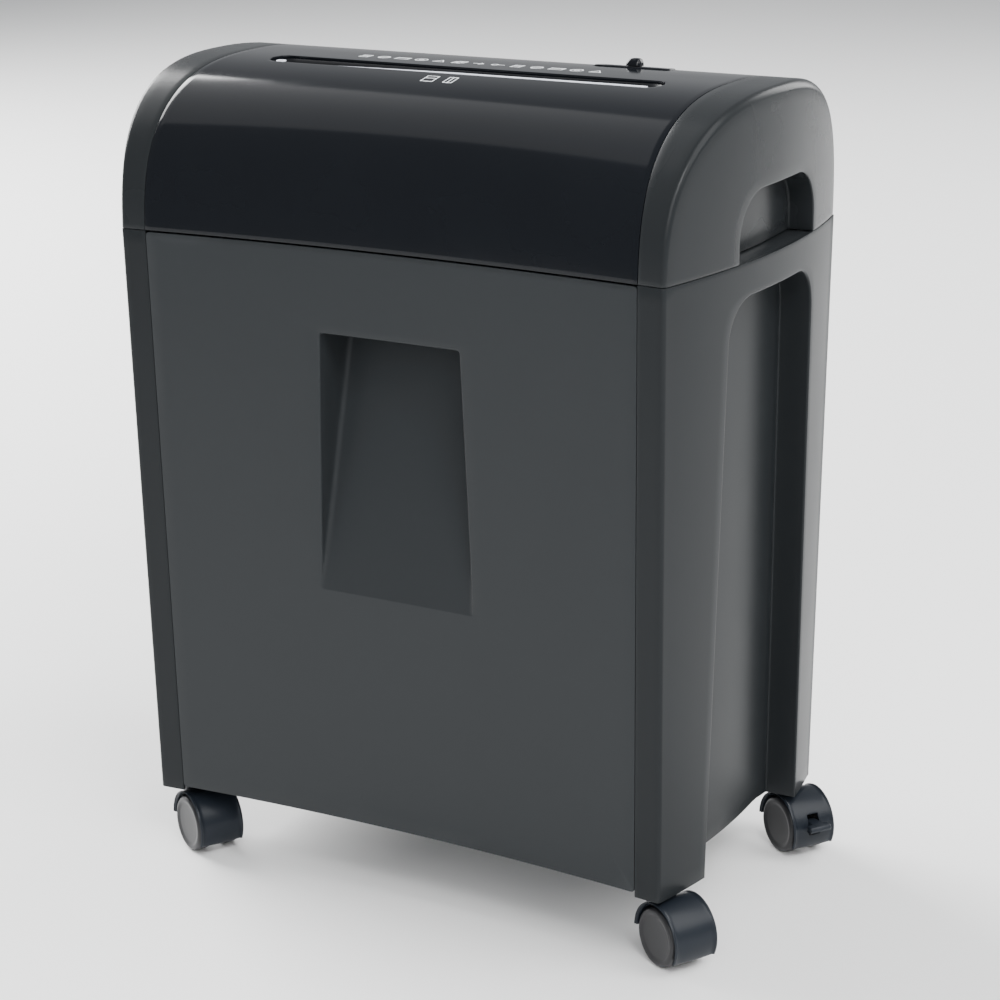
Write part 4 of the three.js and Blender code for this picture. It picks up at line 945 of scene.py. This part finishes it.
def makeTopCover():
    edge = coverBox[1].x
    bezelX = ((bezelBox[0].x + bezelBox[1].x) / 2, (bezelBox[1].x - bezelBox[0].x) / 2 + form["gap"])
    bezelY = ((bezelBox[0].y + bezelBox[1].y) / 2, (bezelBox[1].y - bezelBox[0].y) / 2 + form["gap"])
    inlet = ((inletBox[0].x + inletBox[1].x) / 2, (inletBox[0].z + inletBox[1].z) / 2, 6.9)
    reach = throat["length"] / 2 + 3
    columns = [-edge, inlet[0] - 10, inlet[0] + 10, -vent["x"] - vent["half"], -vent["x"] + vent["half"],
               vent["x"] - vent["half"], vent["x"] + vent["half"], bezelX[0] - bezelX[1] - 2,
               bezelX[0] + bezelX[1] + 2, -reach, reach, edge]
    us = steppedLine(sorted(columns), 4.0)
    throatRows = [crestShare(throat["y"] + s * (throat["mouth"] / 2 + 3)) for s in (-1, 1)]
    bezelRows = [crestShare(bezelY[0] + s * (bezelY[1] + 2)) for s in (-1, 1)]
    ventRows = [rearShare(vent["high"] + 3), rearShare(vent["low"] - 3)]
    inletRows = [rearShare(min(inlet[1] + 10, vent["low"] - 3.5)), rearShare(max(inlet[1] - 10, 385))]
    stops = sorted([0.0, *throatRows, *bezelRows, *ventRows, *inletRows, 1.0])
    vs = steppedLine(stops, 0.0075)

    def block(x0, x1, v0, v1):
        near = [min(range(len(us)), key=lambda i: abs(us[i] - x)) for x in (x0, x1)]
        row = [min(range(len(vs)), key=lambda j: abs(vs[j] - v)) for v in (v0, v1)]
        return near[0], near[1], min(row), max(row)

    holes = []

    def cut(limits, outline, rings=3):
        found = block(*limits)
        holes.append(found)
        patch(bm, us, vs, found, coverPoint, outline, rings)

    bm = bmesh.new()
    cut((-reach, reach, *throatRows), lambda u, v: (lambda p: (p[0], crestShare(p[1])))(throatOutline(u, v)))
    cut((bezelX[0] - bezelX[1] - 2, bezelX[0] + bezelX[1] + 2, *bezelRows),
        lambda u, v: (bezelX[0] + u * bezelX[1], crestShare(bezelY[0] + v * bezelY[1])), 2)
    for x in (-vent["x"], vent["x"]):
        cut((x - vent["half"], x + vent["half"], *ventRows),
            lambda u, v, x=x: (x + u * (vent["half"] - 3),
                               rearShare(mix(vent["high"], vent["low"], (v + 1) / 2))), 2)
    cut((inlet[0] - 10, inlet[0] + 10, *inletRows),
        lambda u, v: (inlet[0] + inlet[2] * math.cos(math.atan2(v, u)),
                      rearShare(inlet[1] - inlet[2] * math.sin(math.atan2(v, u)))), 3)
    grid(bm, us, vs, coverPoint, holes)
    return shell("topCoverShell", bm, (0, 0, 380), wall=2.4, edge=0.5, steps=2)


fit(makeTopCover(), "housing", "gloss_black", materials["glossBlack"], "top_cover")


def ventBar(bm, across, near, far, over):
    path = spread(rearShare(vent["high"] + over), rearShare(vent["low"] - over), 10)
    rings = []
    for share in path:
        outer, inner = coverPoint(0, share, near), coverPoint(0, share, far)
        rings.append([Vector((-across, outer.y, outer.z)), Vector((across, outer.y, outer.z)),
                      Vector((across, inner.y, inner.z)), Vector((-across, inner.y, inner.z))])
    weave(bm, [ring + ring[:1] for ring in rings])
    capOff(bm, rings[0])
    capOff(bm, rings[-1][::-1])


def ventSizes(columns, width, x):
    return {"Columns": columns, "Rows": 1, "Width": width * mm, "Height": 0.0, "Place": (x * mm, 0, 0)}


for label, x in (("right", vent["x"]), ("left", -vent["x"])):
    opening = 2 * (vent["half"] - 3)
    pitch = opening / (vent["ribs"] + 1)
    bm = bmesh.new()
    ventBar(bm, vent["rib"] / 2, 0.7, 3.0, 0.6)
    ribs = repeatPiece("ventRibs_" + label, bm, materials["glossBlack"],
                       ventSizes(vent["ribs"], opening - 2 * pitch, x))
    fit(ribs, "housing", "gloss_black", materials["glossBlack"])
    bm = bmesh.new()
    ventBar(bm, opening / 2 + 2, 4.2, 5.2, 2.0)
    baffle = repeatPiece("ventBaffle_" + label, bm, materials["innerPlastic"], ventSizes(1, 0.0, x))
    fit(baffle, "housing", "inner_plastic", materials["innerPlastic"])
print("top cover made")


# The funnel under the trough, and the beads along it; the front bead is a painted highlight.
def makeThroatLiner():
    loop = squareLoop(70, 6)
    low = boxOf("throat_liner")[0].z
    halfLong, halfWide = throat["slotLength"] / 2, throat["slotWidth"] / 2

    def mouthRing(grow, drop):
        ring = []
        for u, v in loop:
            x, y = throatOutline(u, v, grow)
            ring.append(Vector((x, y, crestAt(crestShare(y))[1] - drop)))
        return ring

    def slotRing(grow, z):
        return [Vector((u * (halfLong + grow), throat["y"] + v * (halfWide + grow), z)) for u, v in loop]

    top = mouthRing(-0.5, 1.6)
    under = mouthRing(-1.4, 2.6)
    neck = slotRing(0.6, form["crest"] - 17)
    rings = [top, under]
    for share in (0.25, 0.5, 0.75):
        rings.append([a.lerp(b, share) for a, b in zip(under, neck)])
    rings += [neck, slotRing(0, form["crest"] - 18.5), slotRing(0, low)]
    bm = bmesh.new()
    weave(bm, rings, closed=True)
    closeUp(bm, (0, throat["y"], form["crest"] - 20))
    bmesh.ops.reverse_faces(bm, faces=bm.faces)
    mesh = bpy.data.meshes.new("throatFunnel")
    bm.to_mesh(mesh)
    bm.free()
    made = newObject("throatFunnel", mesh)
    thicken = made.modifiers.new("wall", "SOLIDIFY")
    thicken.thickness = 1.6 * mm
    thicken.offset = -1
    return soften(bake(made))


fit(makeThroatLiner(), "housing", "inner_plastic", materials["linerPlastic"], "throat_liner")


def roundBead(name, path, radiusAt, sides=10):
    bm = bmesh.new()
    rings = []
    for i, p in enumerate(path):
        ahead = (path[min(i + 1, len(path) - 1)] - path[max(i - 1, 0)]).normalized()
        side = ahead.cross(Vector((0, 0, 1))).normalized()
        up = side.cross(ahead)
        r = radiusAt(i / (len(path) - 1))
        rings.append([p + (side * math.cos(a) + up * math.sin(a)) * r
                      for a in (2 * math.pi * k / sides for k in range(sides))])
    weave(bm, rings, closed=True)
    capOff(bm, rings[0])
    capOff(bm, rings[-1][::-1])
    return closedBody(name, bm, edge=0)


# A near-white bead just under the trough's front edge is a painted highlight, thinning out towards its left end
# where the highlight fades.
highlightStrip = {"start": -84.0, "end": 118.0, "radius": 0.95, "inset": 2.2, "drop": 0.75}
highlightPath = []
for x in spread(highlightStrip["start"], highlightStrip["end"], 60):
    y = throat["y"] - mouthWidth(0) + highlightStrip["inset"]
    highlightPath.append(Vector((x, y, crestAt(crestShare(y))[1] - highlightStrip["drop"])))
highlightBead = roundBead("throatHighlightStrip", highlightPath, lambda s: highlightStrip["radius"] * (0.12 + 0.88 * clamp(s * 2.4)))
fit(highlightBead, "housing", "inner_plastic", materials["glossWhite"])

ringMark = {"x": -116.5, "radius": 2.5, "tube": 0.45, "drop": 0.8}


def makeRingMark():
    y = throat["y"] - 3.5
    z = crestAt(crestShare(y))[1] - ringMark["drop"]
    rings = []
    for i in range(40):
        a = 2 * math.pi * i / 40
        ring = []
        for k in range(10):
            b = 2 * math.pi * k / 10
            reach = ringMark["radius"] + ringMark["tube"] * math.cos(b)
            ring.append(Vector((ringMark["x"] + reach * math.cos(a), y + reach * math.sin(a),
                                z + ringMark["tube"] * math.sin(b))))
        rings.append(ring)
    rings.append(rings[0])
    bm = bmesh.new()
    weave(bm, rings, closed=True)
    return closedBody("throatRingMark", bm, edge=0)


fit(makeRingMark(), "housing", "inner_plastic", materials["glossWhite"])
print("throat made")


# Printed marks, all plain generic signs.
def ringStroke(x, y, radius, steps=16):
    return [(x + radius * math.cos(2 * math.pi * i / steps), y + radius * math.sin(2 * math.pi * i / steps))
            for i in range(steps + 1)]


def frameStroke(x, y, wide, tall):
    corners = [(x - wide, y - tall), (x + wide, y - tall), (x + wide, y + tall), (x - wide, y + tall)]
    return corners + corners[:1]


signs = [
    [frameStroke(0, 0, 1.7, 2.2), [(-0.9, 0.8), (0.9, 0.8)], [(-0.9, -0.4), (0.9, -0.4)]],
    [ringStroke(0, 0, 2.2), [(-1.3, -1.3), (1.3, 1.3)]],
    [frameStroke(0, 0, 2.6, 1.7), [(-2.6, 0.6), (2.6, 0.6)]],
    [ringStroke(0, 0, 2.3), ringStroke(0, 0, 0.8, 10)],
    [[(-2.2, -1.8), (0, 2.0), (2.2, -1.8), (-2.2, -1.8)]],
    [frameStroke(-0.5, -0.4, 1.6, 1.8), frameStroke(0.7, 0.5, 1.6, 1.8)],
    [[(-2.0, 0), (2.0, 0)], [(0.6, 1.4), (2.0, 0), (0.6, -1.4)]],
    [ringStroke(-1.2, 0, 1.2, 12), [(0, 0), (2.6, 0)]],
]


def addStroke(bm, line, width, lift, surface):
    for a, b in zip(line, line[1:]):
        run = Vector((b[0] - a[0], b[1] - a[1]))
        if run.length < 1e-6:
            continue
        run.normalize()
        over = Vector((-run.y, run.x)) * width / 2
        ends = run * width * 0.35
        flat = [Vector(a) - ends - over, Vector(b) + ends - over,
                Vector(b) + ends + over, Vector(a) - ends + over]
        low = [bm.verts.new(surface(p, -0.02) * mm) for p in flat]
        high = [bm.verts.new(surface(p, lift) * mm) for p in flat]
        bm.faces.new(low[::-1])
        bm.faces.new(high)
        for i in range(4):
            j = (i + 1) % 4
            bm.faces.new((low[i], low[j], high[j], high[i]))


def coverSpot(p, lift):
    return coverPoint(p.x, crestShare(p.y), -lift)


markRow = {"first": -77.0, "last": 72.0, "count": 13, "y": 4.0, "scale": 1.55, "stroke": 0.75, "lift": 0.08}
frontMarks = {"leftX": -7.5, "rightX": 5.5, "y": -40.6, "stroke": 0.6, "lift": 0.08}
leftSign = [frameStroke(0, 0, 3.6, 4.4), [(-3.4, 0.8), (3.4, 0.8)]]
rightSign = [frameStroke(0, 0, 2.6, 4.4), [(0, -4.2), (0, 4.2)]]


def makeMarks():
    bm = bmesh.new()
    for i, x in enumerate(spread(markRow["first"], markRow["last"], markRow["count"] - 1)):
        for line in signs[i % len(signs)]:
            placed = [(x + px * markRow["scale"], markRow["y"] + py * markRow["scale"]) for px, py in line]
            addStroke(bm, placed, markRow["stroke"], markRow["lift"], coverSpot)
    for x, sign in ((frontMarks["leftX"], leftSign), (frontMarks["rightX"], rightSign)):
        for line in sign:
            placed = [(x + px, frontMarks["y"] + py) for px, py in line]
            addStroke(bm, placed, frontMarks["stroke"], frontMarks["lift"], coverSpot)
    mesh = bpy.data.meshes.new("printedMarks")
    bm.normal_update()
    bm.to_mesh(mesh)
    bm.free()
    return newObject("printedMarks", mesh)


fit(makeMarks(), "housing", "gloss_black", materials["printWhite"])
print("marks made")

# Mode slider, which lies on the cover's slope.
slide = {"rise": 0.6, "sink": 5.0, "slotHalf": 16.0, "slotWide": 2.2, "corner": 3.0, "long": 23.1,
         "wide": 6.1,
         "x": (bezelBox[0].x + bezelBox[1].x) / 2, "y": (bezelBox[0].y + bezelBox[1].y) / 2}


def onSlope(p):
    share = crestShare(slide["y"])
    y, z = crestAt(share)
    a, b = crestAt(share - 0.01), crestAt(share + 0.01)
    tilt = math.atan2(b[1] - a[1], b[0] - a[0])
    return Matrix.Rotation(tilt, 3, "X") @ p + Vector((slide["x"], y, z))


def makeBezel():
    def ring(halfX, halfY, corner, z):
        return [onSlope(Vector((px, py, z)))
                for px, py in loopOf(-halfX, halfX, -halfY, halfY, corner, 12, 3, 6)]

    top, sink = slide["rise"], -slide["sink"]
    long, wide = slide["long"], slide["wide"]
    rings = [ring(long, wide, slide["corner"], sink), ring(long, wide, slide["corner"], top - 0.5)]
    for a in (30, 60, 90):
        turn = math.radians(a)
        ease = 0.5 * (1 - math.cos(turn))
        rings.append(ring(long - ease, wide - ease, slide["corner"] - 0.3, top - 0.5 * (1 - math.sin(turn))))
    rings.append(ring(slide["slotHalf"] + 1.6, slide["slotWide"] + 1.6, 2.6, top - 0.1))
    rings.append(ring(slide["slotHalf"], slide["slotWide"], 1.6, top - 0.6))
    rings.append(ring(slide["slotHalf"], slide["slotWide"], 1.6, sink))
    rings.append(rings[0])
    bm = bmesh.new()
    weave(bm, rings, closed=True)
    return closedBody("sliderBezelRing", bm, edge=0)


fit(makeBezel(), "housing", "gloss_black", materials["glossBlack"], "slider_bezel")

knob = {"long": 4.4, "wide": 4.0, "tall": 4.3, "base": 1.0, "footLong": 3.8, "footWide": 1.7, "foot": -10.8}


def makeKnob():
    def ring(halfX, halfY, corner, z, lean=0.0):
        return [onSlope(Vector((px + lean, py, z)))
                for px, py in loopOf(-halfX, halfX, -halfY, halfY, corner, 8, 6, 5)]

    rings = [ring(knob["footLong"], knob["footWide"], 0.6, knob["foot"]),
             ring(knob["footLong"], knob["footWide"], 0.6, knob["base"])]
    for k in range(13):
        turn = math.pi / 2 * k / 12
        size, rise = max(math.cos(turn) ** 0.7, 0.02), math.sin(turn)
        halfY = knob["wide"] * size ** 0.8
        rings.append(ring(knob["long"] * size, halfY, min(2.2, halfY * 0.6),
                          knob["base"] + knob["tall"] * rise, 0.9 * rise ** 2))
    bm = bmesh.new()
    weave(bm, rings, closed=True)
    capOff(bm, rings[-1])
    capOff(bm, rings[0][::-1])
    return closedBody("sliderKnobDome", bm, edge=0)


fit(makeKnob(), "slider", "inner_plastic", materials["glossBlack"], "mode_slider")
print("mode slider made")

# Casters.
caster = {"hoodInner": 18.3, "hoodOuter": 20.1, "tail": -28.0, "nose": 178.0, "half": 14.1, "bead": 0.45,
          "collar": 8.0, "webHalf": 4.1, "leverPivotZ": 22.0}
wheelTop = boxOf("wheel_inner_front_right")[1].z
caster["axleZ"] = wheelTop / 2
jointOf = {joint["name"]: joint for joint in frame["joints"]}


def casterPlace(label):
    stem = boxOf("caster_stem_" + label)
    axis = jointOf["roll_inner_" + label]["axis"]
    heading = math.atan2(-axis[0], axis[1])
    centre = Vector(((stem[0].x + stem[1].x) / 2, (stem[0].y + stem[1].y) / 2, 0))
    turn = Matrix.Rotation(heading, 4, "Z")
    axle = Vector(jointOf["roll_inner_" + label]["pos_m"]) / mm
    caster["trail"] = (Vector((axle.x, axle.y, 0)) - centre).length
    return lambda p: turn @ p + centre


def hoodRadius(y):
    out = abs(y)
    crown = caster["hoodOuter"] - 0.5 * (out / caster["half"]) ** 2
    bead = caster["bead"] * clamp((out - 12.3) / 0.5) * (1 - 0.8 * clamp((out - 13.7) / 0.4) ** 2)
    return crown + bead


def makeHood(label, braked, place):
    columns = [-14.1, -13.9, -13.6, -13.2, -12.8, -12.5, -12.2]
    middle = steppedLine([-12.2, -7.0, -3.8, 3.8, 7.0, 12.2] if braked else [-12.2, 12.2], 2.2)
    us = columns[:-1] + middle + [-y for y in columns[:-1]][::-1]
    stops = [caster["tail"], -3.0, 33.0, caster["nose"]] if braked else [caster["tail"], caster["nose"]]
    vs = steppedLine(stops, 5.0)

    def point(y, angle):
        a = math.radians(angle)
        r = hoodRadius(y)
        return place(Vector((caster["trail"] + r * math.cos(a), y, caster["axleZ"] + r * math.sin(a))))

    holes = []
    if braked:
        column = [min(range(len(us)), key=lambda i: abs(us[i] - y)) for y in (-3.8, 3.8)]
        row = [min(range(len(vs)), key=lambda j: abs(vs[j] - a)) for a in (-3, 33)]
        holes.append((column[0], column[1], row[0], row[1]))
    bm = bmesh.new()
    grid(bm, us, vs, point, holes)
    centre = place(Vector((caster["trail"], 0, caster["axleZ"])))
    hood = shell("hoodShell_" + label, bm, centre, wall=1.8, edge=0.35, steps=2)

    bm = bmesh.new()
    blade = arc(caster["trail"], caster["axleZ"], caster["hoodInner"] + 0.8, 60 if braked else -28, 176, 20)
    blade += arc(caster["trail"], caster["axleZ"], 6, 240, 300, 6)
    prism(bm, blade, -caster["webHalf"], caster["webHalf"], lambda p: place(Vector((p.x, p.z, p.y))))
    web = closedBody("hoodWeb_" + label, bm, edge=0.5)

    rings = []
    top = form["legEnd"] - 0.4
    for r, share in ((caster["collar"] + 1.6, 0.0), (caster["collar"] + 0.5, 0.3), (caster["collar"], 0.55),
                     (caster["collar"], 0.92), (caster["collar"] - 0.6, 1.0), (4.4, 1.0), (4.4, 0.3)):
        ring = []
        for k in range(40):
            a = 2 * math.pi * k / 40
            x, y = r * math.cos(a), r * math.sin(a)
            reach = (caster["hoodOuter"] - 0.9) ** 2 - (x - caster["trail"]) ** 2
            seat = caster["axleZ"] + math.sqrt(max(reach, 0))
            ring.append(place(Vector((x, y, mix(min(seat, top - 2.0), top, share)))))
        rings.append(ring)
    rings.append(rings[0])
    bm = bmesh.new()
    weave(bm, rings, closed=True)
    collar = closedBody("hoodCollar_" + label, bm, edge=0)
    body = "caster_" + label
    fit(hood, body, "hood_plastic", materials["hoodPlastic"], "caster_hood_" + label)
    fit(web, body, "hood_plastic", materials["hoodPlastic"])
    fit(collar, body, "hood_plastic", materials["hoodPlastic"])


# radius and distance out along the axle, from the face's middle round the tread to the inner face
wheelProfile = [(0.0, 13.0), (6.0, 13.05), (11.2, 13.15), (12.6, 13.3), (13.4, 13.75), (14.3, 14.0),
                (15.1, 13.95), (15.8, 13.6), (16.4, 12.9), (16.8, 12.0), (17.0, 10.8), (17.0, 7.0),
                (16.8, 6.0), (16.2, 5.2),
                (15.0, 4.8), (13.0, 4.6), (4.6, 4.6), (2.7, 4.6), (2.7, 11.6), (0.0, 11.6)]


def makeWheel(label, which, place):
    side = 1 if which == "inner" else -1
    scale = caster["axleZ"] / 17.0

    def out(p):
        return place(Vector((caster["trail"] + p.x * scale, p.y * side, caster["axleZ"] + p.z * scale)))

    bm = bmesh.new()
    lathe(bm, wheelProfile, 72, out)
    made = closedBody("wheelDisc_" + which + "_" + label, bm, edge=0)
    name = "wheel_" + which + "_" + label
    return fit(made, name, "wheel_plastic", materials["wheelPlastic"], name)


def makeLever(label, place):
    low, high = caster["leverPivotZ"] - 2.0, caster["leverPivotZ"] + 2.0
    bm = bmesh.new()
    side = [(26.2, low + 0.4), (36.2, low), (38.5, low - 0.6), (41.4, low + 0.6), (41.8, low + 1.8),
            (40.8, high - 0.2), (37.0, high), (30.0, high), (26.6, high - 0.8)]
    prism(bm, side, -3.3, 3.3, lambda p: place(Vector((p.x, p.z, p.y))))
    tongue = closedBody("leverTongue_" + label, bm, edge=0.5, steps=2)
    bm = bmesh.new()
    pad = [(36.3, low - 0.4), (39.2, low - 0.6), (41.4, low + 0.5), (41.8, low + 1.9),
           (40.9, high - 0.3), (36.6, high)]
    prism(bm, pad, -7.0, 7.0, lambda p: place(Vector((p.x, p.z, p.y))))
    padMade = closedBody("leverPad_" + label, bm, edge=0.7, steps=3)
    body = "brake_" + label
    fit(tongue, body, "hood_plastic", materials["hoodPlastic"], "brake_lever_" + label)
    fit(padMade, body, "hood_plastic", materials["hoodPlastic"])


for label in ("front_right", "front_left", "rear_right", "rear_left"):
    place = casterPlace(label)
    makeHood(label, label.startswith("rear"), place)
    for which in ("inner", "outer"):
        makeWheel(label, which, place)
    if label.startswith("rear"):
        makeLever(label, place)
print("casters made")

# Camera, light and floor.
view = {"place": (0.7279, -1.2467, 0.6679), "azimuth": 29.92, "elevation": 17.38, "roll": -0.63,
        "lens": 92.94}


def makeCamera():
    az, el, roll = (math.radians(view[k]) for k in ("azimuth", "elevation", "roll"))
    back = Vector((math.sin(az) * math.cos(el), -math.cos(az) * math.cos(el), math.sin(el)))
    level = Vector((0, 0, 1)).cross(back).normalized()
    upright = back.cross(level)
    right = level * math.cos(roll) + upright * math.sin(roll)
    up = upright * math.cos(roll) - level * math.sin(roll)
    data = bpy.data.cameras.new("camera")
    data.lens = view["lens"]
    data.sensor_width = 36
    made = bpy.data.objects.new("camera", data)
    turn = Matrix((right, up, back)).transposed().to_4x4()
    made.matrix_world = Matrix.Translation(view["place"]) @ turn
    bpy.context.scene.collection.objects.link(made)
    bpy.context.scene.camera = made


makeCamera()

world = bpy.data.worlds.new("studio")
bpy.context.scene.world = world
world.use_nodes = True
surround = {"tone": (0.95, 0.97, 1, 1), "strength": 0.5}
world.node_tree.nodes["Background"].inputs["Color"].default_value = surround["tone"]
world.node_tree.nodes["Background"].inputs["Strength"].default_value = surround["strength"]

lights = {
    "rightTop": {"at": (1.75, 0.3, 2.1), "aim": (0.2, 0.1, 0), "size": (1.6, 2.6), "power": 62},
    "leftTop": {"at": (-2.7, 0.7, 1.8), "aim": (-0.1, 0.2, 0), "size": (2.2, 1.8), "power": 250},
    "rightRear": {"at": (0.9, 3.2, 1.3), "aim": (0, 0.3, 0.2), "size": (1.4, 1.8), "power": 50},
    "coverGlow": {"at": (-1.25, 0.1, 2.3), "aim": (0, 0, 0.4), "size": (2.0, 0.9), "power": 6},
    "capGlow": {"at": (1.45, -1.1, 1.9), "aim": (0.15, -0.1, 0.42), "size": (0.9, 0.7), "power": 34},
    "frontFill": {"at": (1.4, -2.6, 1.8), "aim": (0, 0, 0.35), "size": (2.0, 1.6), "power": 46},
}


def addLight(name, spec):
    data = bpy.data.lights.new(name, "AREA")
    data.shape = "RECTANGLE"
    data.size, data.size_y = spec["size"]
    data.energy = spec["power"]
    made = bpy.data.objects.new(name, data)
    away = Vector(spec["at"]) - Vector(spec["aim"])
    made.matrix_world = Matrix.Translation(spec["at"]) @ away.to_track_quat("Z", "Y").to_matrix().to_4x4()
    bpy.context.scene.collection.objects.link(made)


for name, spec in lights.items():
    addLight(name, spec)

floor = {"front": -1.9, "back": 7.0, "left": -6.0, "right": 6.0, "tone": (0.95, 0.95, 0.945, 1),
         "roughness": 0.8}


def makeFloor():
    bm = bmesh.new()
    corners = [(floor["left"], floor["front"]), (floor["right"], floor["front"]),
               (floor["right"], floor["back"]), (floor["left"], floor["back"])]
    bm.faces.new([bm.verts.new((x, y, 0)) for x, y in corners])
    mesh = bpy.data.meshes.new("floor")
    bm.to_mesh(mesh)
    bm.free()
    made = newObject("floor", mesh)
    pale = bpy.data.materials.new("paleFloor")
    pale.use_nodes = True
    shader = pale.node_tree.nodes["Principled BSDF"]
    shader.inputs["Base Color"].default_value = floor["tone"]
    shader.inputs["Roughness"].default_value = floor["roughness"]
    mesh.materials.append(pale)


makeFloor()
print("stage made")
